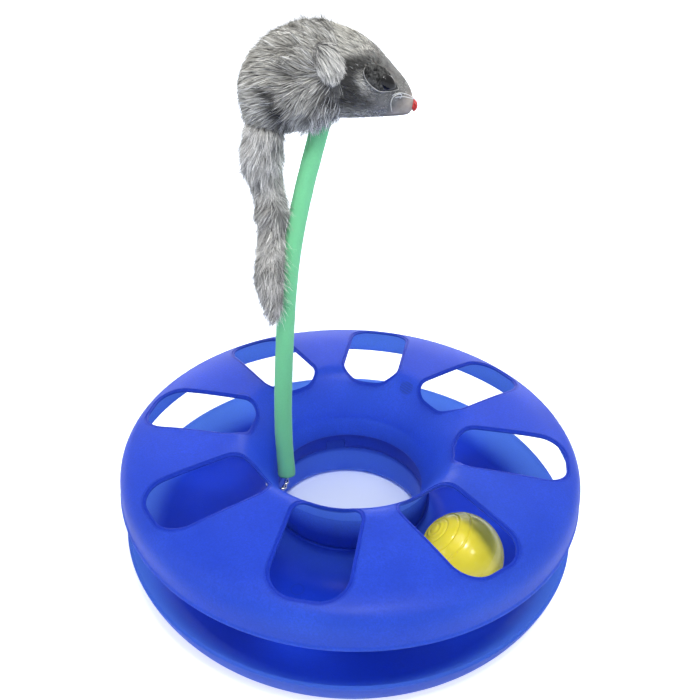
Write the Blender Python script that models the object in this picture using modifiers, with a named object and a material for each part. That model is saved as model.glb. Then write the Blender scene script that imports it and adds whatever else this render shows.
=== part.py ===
"""A cat ball track toy: a blue plastic ring in two halves with a loose ball between them, and a sprung wire wand,
sleeved in foam, that holds up a fur mouse with a hanging tail.

Metres, +Z up. The origin is at the middle of the ring, on the surface that it rests on."""

import math

import bmesh
import bpy
from mathutils import Matrix, Vector
from mathutils.bvhtree import BVHTree

MM = 0.001

# Clearance between pieces that touch on the real toy.
GAP = 0.3 * MM
# Facets round the ring: eight to each window and the rib beside it.
RING_STEPS = 64
# How far a turned profile may stray from its true curve.
PROFILE_TOLERANCE = 0.26 * MM

# The upper half of the track.
WALL = 1.8 * MM
UPPER_RIM_RADIUS = 120.0 * MM
UPPER_RIM_HEIGHT = 42.9 * MM
CREST_RADIUS = 59.9 * MM
CREST_HEIGHT = 64.5 * MM
DOME_FULLNESS = 4.7
RIM_BEAD = 0.8 * MM
# How far above the rim the dome's own curve starts again, in bead sizes.
BEAD_RISE = 2.4
LIP_RADIUS = 39.3 * MM
LIP_HEIGHT = 31.1 * MM
LIP_BEAD_HEIGHT = 1.0 * MM
FUNNEL_FULLNESS = 1.28
COLLAR_BORE_RADIUS = 41.0 * MM
# How far below the funnel the collar's outside starts.
COLLAR_TURN = 2.0 * MM

# The eight windows in the top.
WINDOW_COUNT = 8
WINDOW_FIRST_AZIMUTH = -99.0
WINDOW_INNER_RADIUS = 54.9 * MM
WINDOW_OUTER_RADIUS = UPPER_RIM_RADIUS - 8.7 * MM
WINDOW_WIDTH = 33.3 * MM
WINDOW_WIDENING = 0.026
WINDOW_INNER_CORNER = 9.0 * MM
WINDOW_OUTER_CORNER = 12.5 * MM
# How far the window cutters reach below and above the crest.
WINDOW_CUT_BELOW = 14.0 * MM
WINDOW_CUT_ABOVE = 6.0 * MM

# The lower half of the track, whose rim stands just proud of the upper one all round.
RIM_STEP = 0.2 * MM
LOWER_RIM_RADIUS = UPPER_RIM_RADIUS + RIM_STEP
LOWER_RIM_HEIGHT = 18.2 * MM
FLOOR_THICKNESS = 1.8 * MM
UNDERSIDE_RADIUS = LOWER_RIM_RADIUS - 8.7 * MM
LOWER_WALL_FULLNESS = 1.37
FLOOR_OUTER_RADIUS = LOWER_RIM_RADIUS - 17.2 * MM
FLOOR_CORNER_FULLNESS = 1.5
HUB_RADIUS = 44.5 * MM
HUB_FILLET = 14.0 * MM
HUB_FOOT_ROUND = 5.0 * MM
LEDGE_HEIGHT = 19.5 * MM
HUB_LIP_RISE = 1.8 * MM

# The tongues of the hub, which lock into notches of the collar.
TONGUE_COUNT = 3
TONGUE_FIRST_AZIMUTH = 103.5
TONGUE_WIDTH = 11.0 * MM
TONGUE_HEIGHT = 6.0 * MM
TONGUE_INSET = 0.15 * MM

# The ball, and where it lies in the track.
BALL_RADIUS = 21.5 * MM
BALL_TRACK_RADIUS = 73.9 * MM
BALL_AZIMUTH = -39.0
BALL_GROOVE_POLAR_ANGLES = (20.0, 38.0, 54.0, 84.0)
BALL_GROOVE_WIDTH = 5.0
BALL_GROOVE_DEPTH = 0.5 * MM
BALL_POLE = Vector((-0.754, 0.125, 0.760))
BALL_STEPS = 30

# The wire: two strands side by side, which hook through a hole in the collar and twist up the wand.
STRAND_DIAMETER = 1.15 * MM
STRAND_SPACING = 1.6 * MM
WIRE_AZIMUTH = 193.5
WIRE_HEIGHT = 28.2 * MM
WIRE_HOLE_CLEARANCE = 0.375 * MM
HOOK_REACH = 4.1 * MM
HOOK_RISE = 5.8 * MM
HOOK_BEND = 2.9 * MM
HOOK_MOUTH = 1.4 * MM
NECK_HANDLE = 3.2 * MM
BARE_TWIST_PITCH = 6.0 * MM
SLEEVED_TWIST_PITCH = 32.0 * MM
WIRE_INTO_MOUSE = 17.0 * MM

# The foam sleeve and the line that it follows, from the throat of the ring up to the mouse.
SLEEVE_DIAMETER = 9.7 * MM
SLEEVE_END_ROUND = 1.5 * MM
SLEEVE_INTO_MOUSE = 4.5 * MM
WAND_LINE = (
    Vector((-34.6, -3.6, 33.9)) * MM,
    Vector((-37.1, 7.2, 62.5)) * MM,
    Vector((-37.0, 19.5, 100.4)) * MM,
    Vector((-34.7, 31.1, 141.3)) * MM,
    Vector((-28.9, 39.8, 176.8)) * MM,
    Vector((-19.6, 47.3, 214.0)) * MM,
)

# The mouse. Its own frame has X towards the nose, Y to its left and Z up, and stands on the end of the wand line.
MOUSE_YAW = 10.0
# Sections from the rump forward: distance along, top, bottom and half width, in millimetres.
BODY_SECTIONS = (
    (-37.2, 25.5, -1.0, 8.5),
    (-32.0, 31.6, -5.8, 13.0),
    (-24.0, 37.6, -7.2, 16.5),
    (-13.0, 41.6, -5.4, 18.5),
    (-2.0, 42.8, -3.2, 18.8),
    (7.0, 40.4, -0.6, 16.8),
    (12.5, 34.0, 6.0, 12.0),
)
HEAD_SECTIONS = (
    (3.0, 36.0, 5.0, 11.0),
    (11.0, 39.9, 0.6, 15.2),
    (19.0, 36.2, 0.9, 14.4),
    (27.0, 29.8, 1.0, 12.0),
    (34.0, 21.9, 1.2, 9.0),
    (40.0, 16.0, 1.5, 6.2),
    (44.0, 12.0, 2.0, 4.2),
)
CAGE_SIDES = 10

# Fur ears, laid back. Each lies on the side of the neck.
EAR_PLACE = (1.6 * MM, 26.0 * MM)
EAR_SIZE = (10.0 * MM, 6.0 * MM, 2.6 * MM)
EAR_TILT = -58.0

# Eyes: a dark oval drop with a glossy bead at its front end.
EYE_PATCH_PLACE = (26.0 * MM, 20.4 * MM)
EYE_PATCH_SIZE = (8.6 * MM, 5.4 * MM, 1.9 * MM)
EYE_BEAD_PLACE = (30.6 * MM, 19.0 * MM)
EYE_BEAD_SIZE = (3.9 * MM, 2.9 * MM, 2.8 * MM)
EYE_TILT = -20.0

NOSE_PLACE = Vector((45.3, 0.0, 7.9)) * MM
NOSE_SIZE = (2.4 * MM, 3.0 * MM, 3.1 * MM)

# Whiskers: where each leaves the muzzle (along, up), then its points (along, out from the middle, up), in millimetres.
WHISKER_DIAMETER = 0.5 * MM
WHISKERS = (
    ((31.0, 13.6), ((35.0, 10.6, 15.4), (40.0, 9.4, 13.7), (44.0, 8.6, 10.4), (47.6, 8.2, 7.4))),
    ((32.5, 11.6), ((37.0, 9.2, 12.2), (42.0, 7.4, 10.9), (48.4, 6.6, 9.2))),
    ((30.0, 11.0), ((29.2, 12.6, 8.6), (29.4, 13.4, 5.8), (30.4, 13.6, 3.4))),
)

# The hanging tail in three lengths: points of its middle line, and the radius at each, in millimetres.
TAIL_SIDES = 12
TAIL_SOCKET_CLEARANCE = 0.7 * MM
TAIL_OVERHANG = 1.5 * MM
TAIL_LENGTHS = {
    "tail_root": (
        (-47.0, 41.0, 206.0, 8.0),
        (-48.6, 41.0, 199.0, 9.4),
        (-48.3, 41.0, 192.0, 8.8),
        (-45.9, 40.2, 182.0, 6.9),
    ),
    "tail_middle": (
        (-45.0, 39.6, 178.6, 6.0),
        (-44.0, 37.6, 171.0, 7.4),
        (-43.6, 34.6, 163.4, 5.9),
        (-43.9, 31.0, 155.6, 5.9),
    ),
    "tail_tip": (
        (-43.9, 28.6, 151.0, 5.6),
        (-44.4, 24.4, 143.5, 6.4),
        (-43.6, 20.4, 135.0, 5.7),
        (-42.2, 17.4, 128.0, 4.2),
        (-41.0, 15.6, 122.2, 1.6),
    ),
}


def clear_scene():
    for obj in list(bpy.data.objects):
        bpy.data.objects.remove(obj)


def collection(name):
    made = bpy.data.collections.new(name)
    bpy.context.scene.collection.children.link(made)
    return made


def material(name, colour, roughness, metallic=0.0):
    made = bpy.data.materials.new(name)
    made.use_nodes = True
    shader = made.node_tree.nodes["Principled BSDF"]
    shader.inputs["Base Color"].default_value = (*colour, 1.0)
    shader.inputs["Roughness"].default_value = roughness
    shader.inputs["Metallic"].default_value = metallic
    made.diffuse_color = (*colour, 1.0)
    return made


def add_object(name, mesh, group, finish=None, parent=None):
    """An object of this mesh in the group. A mesh given in world space keeps its place under its parent."""
    obj = bpy.data.objects.new(name, mesh)
    group.objects.link(obj)
    if finish is not None:
        mesh.materials.append(finish)
    if parent is not None:
        obj.parent = parent
        obj.matrix_parent_inverse = parent.matrix_world.inverted()
    return obj


def add_axis(name, place, group, parent=None):
    """An empty on a joint's axis, for the pieces that move there."""
    empty = bpy.data.objects.new(name, None)
    empty.empty_display_size = 8 * MM
    group.objects.link(empty)
    if parent is not None:
        empty.parent = parent
        empty.matrix_parent_inverse = parent.matrix_world.inverted()
    empty.location = place
    bpy.context.view_layer.update()
    return empty


def as_cutter(obj):
    obj.hide_render = True
    obj.display_type = "WIRE"
    return obj


def smooth(mesh, angle=35.0):
    mesh.shade_smooth()
    mesh.set_sharp_from_angle(angle=math.radians(angle))


def cut(obj, cutter):
    modifier = obj.modifiers.new("cut_" + cutter.name, "BOOLEAN")
    modifier.operation = "DIFFERENCE"
    modifier.solver = "EXACT"
    modifier.object = cutter
    return modifier


def join(obj, other):
    modifier = obj.modifiers.new("join_" + other.name, "BOOLEAN")
    modifier.operation = "UNION"
    modifier.solver = "EXACT"
    modifier.object = other
    return modifier


def evaluated_mesh(obj):
    bpy.context.view_layer.update()
    return bpy.data.meshes.new_from_object(obj.evaluated_get(bpy.context.evaluated_depsgraph_get()))


def around(radius, degrees, height=0.0):
    """The point at this radius, azimuth and height."""
    angle = math.radians(degrees)
    return Vector((radius * math.cos(angle), radius * math.sin(angle), height))


def superellipse(centre, reach, fullness, turns=160):
    """Points of a quarter superellipse from the side of its centre to the top, for reach (across, up)."""
    points = []
    for i in range(turns + 1):
        angle = 0.5 * math.pi * i / turns
        across = math.cos(angle) ** (2.0 / fullness)
        up = math.sin(angle) ** (2.0 / fullness)
        points.append((centre[0] + reach[0] * across, centre[1] + reach[1] * up))
    return points


def offset(points, distance):
    """The line of points moved sideways, to the left of its direction."""
    moved = []
    for i, (r, z) in enumerate(points):
        before = points[max(i - 1, 0)]
        after = points[min(i + 1, len(points) - 1)]
        along = Vector((after[0] - before[0], after[1] - before[1])).normalized()
        moved.append((r - along.y * distance, z + along.x * distance))
    return moved


def thinned(points, tolerance):
    """The fewest of the points that keep the line within the tolerance."""
    if len(points) < 3:
        return list(points)
    start = Vector(points[0])
    chord = Vector(points[-1]) - start
    furthest = 0.0
    split = 0
    for i in range(1, len(points) - 1):
        away = Vector(points[i]) - start
        distance = abs(away.x * chord.y - away.y * chord.x) / chord.length
        if distance > furthest:
            furthest = distance
            split = i
    if furthest <= tolerance:
        return [points[0], points[-1]]
    return thinned(points[: split + 1], tolerance)[:-1] + thinned(points[split:], tolerance)


def turned(name, profile, steps, group, finish=None, closed=True, parent=None):
    """A profile of (radius, height) turned about the Z axis of its place."""
    mesh = bpy.data.meshes.new(name)
    edges = [(i, i + 1) for i in range(len(profile) - 1)]
    if closed:
        edges.append((len(profile) - 1, 0))
    mesh.from_pydata([(r, 0.0, z) for r, z in profile], edges, [])
    obj = add_object(name, mesh, group, finish, parent)
    screw = obj.modifiers.new("turn", "SCREW")
    screw.axis = "Z"
    screw.angle = 2.0 * math.pi
    screw.steps = steps
    screw.render_steps = steps
    screw.use_merge_vertices = True
    screw.merge_threshold = 1e-6
    screw.use_smooth_shade = True
    return obj


def tube(name, points, radius, sides, group, finish=None, radii=None, parent=None):
    """A round bar along the points, with closed ends, as a mesh in world space."""
    curve = bpy.data.curves.new(name, "CURVE")
    curve.dimensions = "3D"
    curve.bevel_depth = radius
    curve.bevel_resolution = (sides - 4) // 2
    curve.use_fill_caps = True
    spline = curve.splines.new("POLY")
    spline.points.add(len(points) - 1)
    for i, place in enumerate(points):
        spline.points[i].co = (*place, 1.0)
        spline.points[i].radius = 1.0 if radii is None else radii[i] / radius
    guide = bpy.data.objects.new(name + "_line", curve)
    bpy.context.scene.collection.objects.link(guide)
    mesh = evaluated_mesh(guide)
    bpy.data.objects.remove(guide)
    mesh.materials.clear()
    shape = bmesh.new()
    shape.from_mesh(mesh)
    bmesh.ops.remove_doubles(shape, verts=shape.verts, dist=1e-6)
    bmesh.ops.recalc_face_normals(shape, faces=shape.faces)
    shape.to_mesh(mesh)
    shape.free()
    mesh.name = name
    smooth(mesh)
    return add_object(name, mesh, group, finish, parent)


def ball_mesh(name, size, segments, rings, matrix):
    """An ellipsoid with these three half sizes, placed by the matrix."""
    mesh = bpy.data.meshes.new(name)
    shape = bmesh.new()
    bmesh.ops.create_uvsphere(shape, u_segments=segments, v_segments=rings, radius=1.0)
    bmesh.ops.transform(shape, matrix=matrix @ Matrix.Diagonal((*size, 1.0)), verts=shape.verts)
    shape.to_mesh(mesh)
    shape.free()
    mesh.shade_smooth()
    return mesh


def smooth_line(points, spacing):
    """Points about this far apart on a smooth curve through the given ones."""
    ends = [2 * points[0] - points[1], *points, 2 * points[-1] - points[-2]]
    line = []
    for a, b, c, d in zip(ends, ends[1:], ends[2:], ends[3:]):
        count = max(2, round((c - b).length / spacing))
        for i in range(count):
            t = i / count
            bend = 2 * a - 5 * b + 4 * c - d
            twist = 3 * b - a - 3 * c + d
            line.append(0.5 * (2 * b + t * (c - a) + t * t * bend + t * t * t * twist))
    line.append(points[-1].copy())
    return line


def bezier(a, b, c, d, count):
    line = []
    for i in range(count + 1):
        t = i / count
        s = 1 - t
        line.append(s * s * s * a + 3 * s * s * t * b + 3 * s * t * t * c + t * t * t * d)
    return line


def arc_blocks(name, inner, outer, low, high, width, azimuths, group):
    """Curved blocks between two radii, with flat ends, at each of the azimuths."""
    shape = bmesh.new()
    half = 0.5 * width / COLLAR_BORE_RADIUS
    steps = 4
    for azimuth in azimuths:
        outline = []
        for radius, order in ((inner, range(steps + 1)), (outer, range(steps, -1, -1))):
            for i in order:
                angle = math.radians(azimuth) - half + 2 * half * i / steps
                outline.append(shape.verts.new((radius * math.cos(angle), radius * math.sin(angle), low)))
        face = shape.faces.new(outline)
        raised = bmesh.ops.extrude_face_region(shape, geom=[face])
        moved = [part for part in raised["geom"] if isinstance(part, bmesh.types.BMVert)]
        bmesh.ops.translate(shape, verts=moved, vec=(0, 0, high - low))
    bmesh.ops.recalc_face_normals(shape, faces=shape.faces)
    mesh = bpy.data.meshes.new(name)
    shape.to_mesh(mesh)
    shape.free()
    return add_object(name, mesh, group)


def round_hole(name, radius, start, end, group):
    """A cutter for a straight round hole."""
    along = end - start
    mesh = bpy.data.meshes.new(name)
    shape = bmesh.new()
    bmesh.ops.create_cone(
        shape, cap_ends=True, segments=12, radius1=radius, radius2=radius, depth=along.length
    )
    turn = Vector((0, 0, 1)).rotation_difference(along).to_matrix().to_4x4()
    bmesh.ops.transform(shape, matrix=Matrix.Translation((start + end) / 2) @ turn, verts=shape.verts)
    shape.to_mesh(mesh)
    shape.free()
    return as_cutter(add_object(name, mesh, group))


def dome_line():
    """The outer face of the top, from the rim up to the crest."""
    return superellipse(
        (CREST_RADIUS, UPPER_RIM_HEIGHT),
        (UPPER_RIM_RADIUS - CREST_RADIUS, CREST_HEIGHT - UPPER_RIM_HEIGHT),
        DOME_FULLNESS,
    )


def funnel_line():
    """The upper face of the funnel, from the throat lip up to the crest."""
    return superellipse(
        (CREST_RADIUS, LIP_HEIGHT),
        (LIP_RADIUS - CREST_RADIUS, CREST_HEIGHT - LIP_HEIGHT),
        FUNNEL_FULLNESS,
    )


def upper_profile():
    dome = dome_line()
    funnel = funnel_line()
    bead = RIM_BEAD
    foot = UPPER_RIM_HEIGHT
    outside = thinned(dome[::-1], PROFILE_TOLERANCE)[:-1]
    outside = [point for point in outside if point[1] > foot + BEAD_RISE * bead]
    rim = [
        (UPPER_RIM_RADIUS - 0.1 * bead, foot + 2.0 * bead),
        (UPPER_RIM_RADIUS + 0.8 * bead, foot + 1.5 * bead),
        (UPPER_RIM_RADIUS + 0.8 * bead, foot + 0.5 * bead),
        (UPPER_RIM_RADIUS, foot),
        (UPPER_RIM_RADIUS - WALL, foot),
    ]
    under_dome = [point for point in offset(dome, WALL) if point[1] > foot]
    collar_radius = COLLAR_BORE_RADIUS + WALL
    under_funnel = [point for point in offset(funnel, -WALL) if point[0] > collar_radius + 0.2 * MM]
    under = thinned(under_dome, PROFILE_TOLERANCE)[:-1] + thinned(under_funnel[::-1], PROFILE_TOLERANCE)
    collar = [
        (collar_radius, under[-1][1] - COLLAR_TURN),
        (collar_radius, LEDGE_HEIGHT + GAP),
        (COLLAR_BORE_RADIUS, LEDGE_HEIGHT + GAP),
        (COLLAR_BORE_RADIUS, LIP_HEIGHT - LIP_BEAD_HEIGHT),
        (LIP_RADIUS + 0.3 * MM, LIP_HEIGHT - 0.7 * LIP_BEAD_HEIGHT),
    ]
    inside = thinned(funnel, PROFILE_TOLERANCE)[:-1]
    return outside + rim + under + collar + inside


def lower_profile():
    outer = superellipse(
        (UNDERSIDE_RADIUS, LOWER_RIM_HEIGHT),
        (LOWER_RIM_RADIUS - UNDERSIDE_RADIUS, -LOWER_RIM_HEIGHT),
        LOWER_WALL_FULLNESS,
    )
    inner_reach = LOWER_RIM_RADIUS - WALL - FLOOR_OUTER_RADIUS
    corner = superellipse(
        (FLOOR_OUTER_RADIUS, LOWER_RIM_HEIGHT),
        (inner_reach, FLOOR_THICKNESS - LOWER_RIM_HEIGHT),
        FLOOR_CORNER_FULLNESS,
    )
    fillet = []
    for i in range(9):
        angle = math.radians(270 - 90 * i / 8)
        fillet.append(
            (
                HUB_RADIUS + HUB_FILLET * (1 + math.cos(angle)),
                FLOOR_THICKNESS + HUB_FILLET * (1 + math.sin(angle)),
            )
        )
    foot = [
        (
            COLLAR_BORE_RADIUS + HUB_FOOT_ROUND * (1 - math.cos(math.radians(22.5 * i))),
            HUB_FOOT_ROUND * (1 - math.sin(math.radians(22.5 * i))),
        )
        for i in range(5)
    ]
    lip_inner = COLLAR_BORE_RADIUS + WALL + GAP
    hub_top = [
        (HUB_RADIUS, LEDGE_HEIGHT + HUB_LIP_RISE),
        (lip_inner, LEDGE_HEIGHT + HUB_LIP_RISE),
        (lip_inner, LEDGE_HEIGHT),
        (COLLAR_BORE_RADIUS, LEDGE_HEIGHT),
    ]
    outside = thinned(outer, PROFILE_TOLERANCE)
    inside = thinned(corner[::-1], PROFILE_TOLERANCE)
    # Down the outer wall, in under the floor, up the bore, over the hub, and back along the floor to the rim.
    return outside + foot[::-1] + hub_top[::-1] + fillet[::-1] + inside


def window_outline(azimuth):
    """Corners of one window seen from above, in order."""
    middle = 0.5 * (WINDOW_INNER_RADIUS + WINDOW_OUTER_RADIUS)
    corners = []
    for end, side, corner in (
        (WINDOW_INNER_RADIUS, -1, WINDOW_INNER_CORNER),
        (WINDOW_OUTER_RADIUS, -1, WINDOW_OUTER_CORNER),
        (WINDOW_OUTER_RADIUS, 1, WINDOW_OUTER_CORNER),
        (WINDOW_INNER_RADIUS, 1, WINDOW_INNER_CORNER),
    ):
        half = 0.5 * (WINDOW_WIDTH + WINDOW_WIDENING * (end - middle))
        inward = 1 if end < middle else -1
        centre = Vector((end + inward * corner, side * (half - corner)))
        start = math.degrees(math.atan2(side, -inward)) - 45
        for i in range(5):
            angle = math.radians(start + 22.5 * i)
            corners.append(centre + corner * Vector((math.cos(angle), math.sin(angle))))
    turn = Matrix.Rotation(math.radians(azimuth), 2)
    return [turn @ corner for corner in corners]


def window_cutter(group):
    shape = bmesh.new()
    low = CREST_HEIGHT - WINDOW_CUT_BELOW
    high = CREST_HEIGHT + WINDOW_CUT_ABOVE
    for i in range(WINDOW_COUNT):
        outline = window_outline(WINDOW_FIRST_AZIMUTH + 360.0 * i / WINDOW_COUNT)
        face = shape.faces.new([shape.verts.new((point.x, point.y, low)) for point in outline])
        raised = bmesh.ops.extrude_face_region(shape, geom=[face])
        moved = [part for part in raised["geom"] if isinstance(part, bmesh.types.BMVert)]
        bmesh.ops.translate(shape, verts=moved, vec=(0, 0, high - low))
    bmesh.ops.recalc_face_normals(shape, faces=shape.faces)
    mesh = bpy.data.meshes.new("window_cutter")
    shape.to_mesh(mesh)
    shape.free()
    return as_cutter(add_object("window_cutter", mesh, group))


def tongue_azimuths():
    return [TONGUE_FIRST_AZIMUTH + 360.0 * i / TONGUE_COUNT for i in range(TONGUE_COUNT)]


def upper_shell(parts, cutters):
    finish = material("blue_plastic_upper", (0.035, 0.06, 0.62), 0.42)
    shell = turned("upper_shell", upper_profile(), RING_STEPS, parts, finish)
    cut(shell, window_cutter(cutters))
    notches = arc_blocks(
        "notch_cutter",
        COLLAR_BORE_RADIUS - 1 * MM,
        COLLAR_BORE_RADIUS + WALL + 1 * MM,
        LEDGE_HEIGHT - 1 * MM,
        LEDGE_HEIGHT + TONGUE_HEIGHT + GAP,
        TONGUE_WIDTH + 2 * GAP,
        tongue_azimuths(),
        cutters,
    )
    cut(shell, as_cutter(notches))
    hole_radius = 0.5 * (STRAND_SPACING + STRAND_DIAMETER) + WIRE_HOLE_CLEARANCE
    hole = round_hole(
        "wire_hole_cutter",
        hole_radius,
        around(COLLAR_BORE_RADIUS - 2 * MM, WIRE_AZIMUTH, WIRE_HEIGHT),
        around(COLLAR_BORE_RADIUS + WALL + 1 * MM, WIRE_AZIMUTH, WIRE_HEIGHT),
        cutters,
    )
    cut(shell, hole)
    return shell


def lower_shell(parts, cutters):
    finish = material("blue_plastic_lower", (0.03, 0.05, 0.58), 0.42)
    shell = turned("lower_shell", lower_profile(), RING_STEPS, parts, finish)
    tongues = arc_blocks(
        "tongue_block",
        COLLAR_BORE_RADIUS + TONGUE_INSET,
        COLLAR_BORE_RADIUS + WALL - TONGUE_INSET,
        LEDGE_HEIGHT - 2 * MM,
        LEDGE_HEIGHT + TONGUE_HEIGHT,
        TONGUE_WIDTH,
        tongue_azimuths(),
        cutters,
    )
    join(shell, as_cutter(tongues))
    return shell


def ball_profile():
    """Half of the ball's outline from the south pole's side up, with shallow grooves round its pole."""
    profile = []
    count = 24
    for i in range(count + 1):
        polar = 180.0 * i / count
        depth = 0.0
        for groove in BALL_GROOVE_POLAR_ANGLES:
            depth += BALL_GROOVE_DEPTH * math.exp(-(((polar - groove) / BALL_GROOVE_WIDTH) ** 2))
        radius = BALL_RADIUS - depth
        across = 0.0 if i in (0, count) else radius * math.sin(math.radians(polar))
        profile.append((across, radius * math.cos(math.radians(polar))))
    return profile


def track_ball(parts):
    """The loose ball. Its parent is an empty on the axis of the ring, which is what it runs round."""
    axis = add_axis("ball_orbit_axis", (0, 0, 0), parts)
    finish = material("yellow_plastic", (0.78, 0.66, 0.05), 0.22)
    ball = turned("track_ball", ball_profile(), BALL_STEPS, parts, finish, closed=False, parent=axis)
    ball.location = around(BALL_TRACK_RADIUS, BALL_AZIMUTH, FLOOR_THICKNESS + GAP + BALL_RADIUS)
    ball.rotation_euler = Vector((0, 0, 1)).rotation_difference(BALL_POLE).to_euler()
    return ball


def wire_frame():
    """Directions at the wire's hole: outward from the ring's middle, and level along the wall."""
    outward = around(1.0, WIRE_AZIMUTH)
    level = Vector((-outward.y, outward.x, 0.0))
    return outward, level


def hook_line():
    """One leg of the hook in the upright plane through the hole: from the throat, through the wall, and up behind."""
    wall_middle = COLLAR_BORE_RADIUS + 0.5 * WALL
    radius = wall_middle - HOOK_MOUTH - 0.5 * WALL
    bend_centre = wall_middle + HOOK_REACH - HOOK_BEND
    line = [(radius, 0.0), (0.5 * (radius + bend_centre), 0.0)]
    for i in range(5):
        angle = math.radians(22.5 * i)
        line.append((bend_centre + HOOK_BEND * math.sin(angle), HOOK_BEND * (1 - math.cos(angle))))
    line.append((bend_centre + HOOK_BEND, HOOK_RISE))
    return line


def wire_hook(parts, parent):
    """The folded end of the wire: in through the hole on one side, round, and out again beside itself."""
    outward, level = wire_frame()
    half = 0.5 * STRAND_SPACING
    leg = hook_line()
    points = [outward * r - level * half + Vector((0, 0, WIRE_HEIGHT + z)) for r, z in leg]
    top_radius, top_height = leg[-1]
    for i in range(1, 6):
        angle = math.radians(30 * i)
        sideways = -half * math.cos(angle)
        points.append(
            outward * top_radius + level * sideways + Vector((0, 0, WIRE_HEIGHT + top_height + half * math.sin(angle)))
        )
    points += [outward * r + level * half + Vector((0, 0, WIRE_HEIGHT + z)) for r, z in reversed(leg)]
    finish = material("steel_wire_hook", (0.72, 0.73, 0.75), 0.25, 1.0)
    return tube("wire_hook", points, 0.5 * STRAND_DIAMETER, 8, parts, finish, parent=parent)


def wand_direction():
    """The way that the wand points where it enters the mouse."""
    return (WAND_LINE[-1] - WAND_LINE[-2]).normalized()


def neck_line():
    """The middle of the bare wire from the hole's mouth up into the sleeve."""
    outward, _ = wire_frame()
    start = outward * (hook_line()[0][0] - GAP) + Vector((0, 0, WIRE_HEIGHT))
    up = (WAND_LINE[1] - WAND_LINE[0]).normalized()
    return bezier(start, start - outward * NECK_HANDLE, WAND_LINE[0] - up * NECK_HANDLE, WAND_LINE[0], 12)


def strand_points(side):
    """The line of one strand: level with its neighbour at the hole, then wound round it up the wand."""
    _, level = wire_frame()
    bare = neck_line()
    inside = smooth_line(list(WAND_LINE), 4.4 * MM)[1:]
    end = WAND_LINE[-1]
    direction = wand_direction()
    steps = 5
    inside += [end + direction * (WIRE_INTO_MOUSE * (i + 1) / steps) for i in range(steps)]
    line = bare + inside
    points = []
    phase = 0.0
    across = level
    for i, place in enumerate(line):
        before = line[max(i - 1, 0)]
        after = line[min(i + 1, len(line) - 1)]
        along = (after - before).normalized()
        across = (across - along * across.dot(along)).normalized()
        if i:
            pitch = BARE_TWIST_PITCH if i < len(bare) else SLEEVED_TWIST_PITCH
            phase += 2 * math.pi * (place - line[i - 1]).length / pitch
        aside = Matrix.Rotation(phase, 3, along) @ across
        points.append(place + aside * (side * 0.5 * STRAND_SPACING))
    return points


def wire_strand(name, side, parts, parent):
    finish = material("steel_" + name, (0.72, 0.73, 0.75), 0.25, 1.0)
    return tube(name, strand_points(side), 0.5 * STRAND_DIAMETER, 6, parts, finish, parent=parent)


def foam_sleeve(parts, cutters, parent):
    """A round foam tube with a rounded lower end, bored for the wire."""
    line = smooth_line(list(WAND_LINE), 10.0 * MM)
    direction = wand_direction()
    line.append(line[-1] + direction * SLEEVE_INTO_MOUSE)
    radius = 0.5 * SLEEVE_DIAMETER
    up = (line[1] - line[0]).normalized()
    first = [line[0], line[0] + up * 0.3 * SLEEVE_END_ROUND, line[0] + up * SLEEVE_END_ROUND]
    first_radii = [radius - SLEEVE_END_ROUND, radius - 0.3 * SLEEVE_END_ROUND, radius]
    radii = first_radii + [radius] * (len(line) - 1)
    finish = material("green_foam", (0.18, 0.66, 0.33), 0.9)
    sleeve = tube("foam_sleeve", first + line[1:], radius, 12, parts, finish, radii, parent)
    bore_radius = 0.5 * (STRAND_SPACING + STRAND_DIAMETER) + GAP
    past = [line[0] - up * 3 * MM, *line, line[-1] + direction * 3 * MM]
    cut(sleeve, as_cutter(tube("sleeve_bore_cutter", past, bore_radius, 8, cutters)))
    return sleeve


def mouse_matrix():
    return Matrix.Translation(WAND_LINE[-1]) @ Matrix.Rotation(math.radians(MOUSE_YAW), 4, "Z")


def swelling_form(name, sections, grow, group, finish=None, parent=None):
    """A soft form through upright sections, as a coarse cage that Subdivision Surface rounds."""
    # A subdivided ring settles inside its cage by this much, so the cage is drawn larger.
    settle = (2 + math.cos(2 * math.pi / CAGE_SIDES)) / 3
    frame = mouse_matrix()
    shape = bmesh.new()
    rings = []
    for along, top, bottom, half_width in sections:
        ring = []
        middle = 0.5 * (top + bottom)
        for i in range(CAGE_SIDES):
            angle = 2 * math.pi * i / CAGE_SIDES
            across = (half_width * MM + grow) / settle * math.cos(angle)
            up = ((top - middle) * MM + grow) / settle * math.sin(angle)
            ring.append(shape.verts.new(frame @ Vector((along * MM, across, middle * MM + up))))
        rings.append(ring)
    for ring, other in zip(rings, rings[1:]):
        for i in range(CAGE_SIDES):
            j = (i + 1) % CAGE_SIDES
            shape.faces.new((ring[i], ring[j], other[j], other[i]))
    for ring, section, way in ((rings[0], sections[0], -1), (rings[-1], sections[-1], 1)):
        along, top, bottom, _ = section
        reach = 0.12 * (top - bottom)
        tip = Vector((along * MM + way * (reach * MM + grow), 0, 0.5 * (top + bottom) * MM))
        centre = shape.verts.new(frame @ tip)
        for i in range(CAGE_SIDES):
            shape.faces.new((ring[i], ring[(i + 1) % CAGE_SIDES], centre))
    bmesh.ops.recalc_face_normals(shape, faces=shape.faces)
    mesh = bpy.data.meshes.new(name)
    shape.to_mesh(mesh)
    shape.free()
    mesh.shade_smooth()
    obj = add_object(name, mesh, group, finish, parent)
    rounding = obj.modifiers.new("round", "SUBSURF")
    rounding.levels = 1
    rounding.render_levels = 1
    return obj


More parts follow.
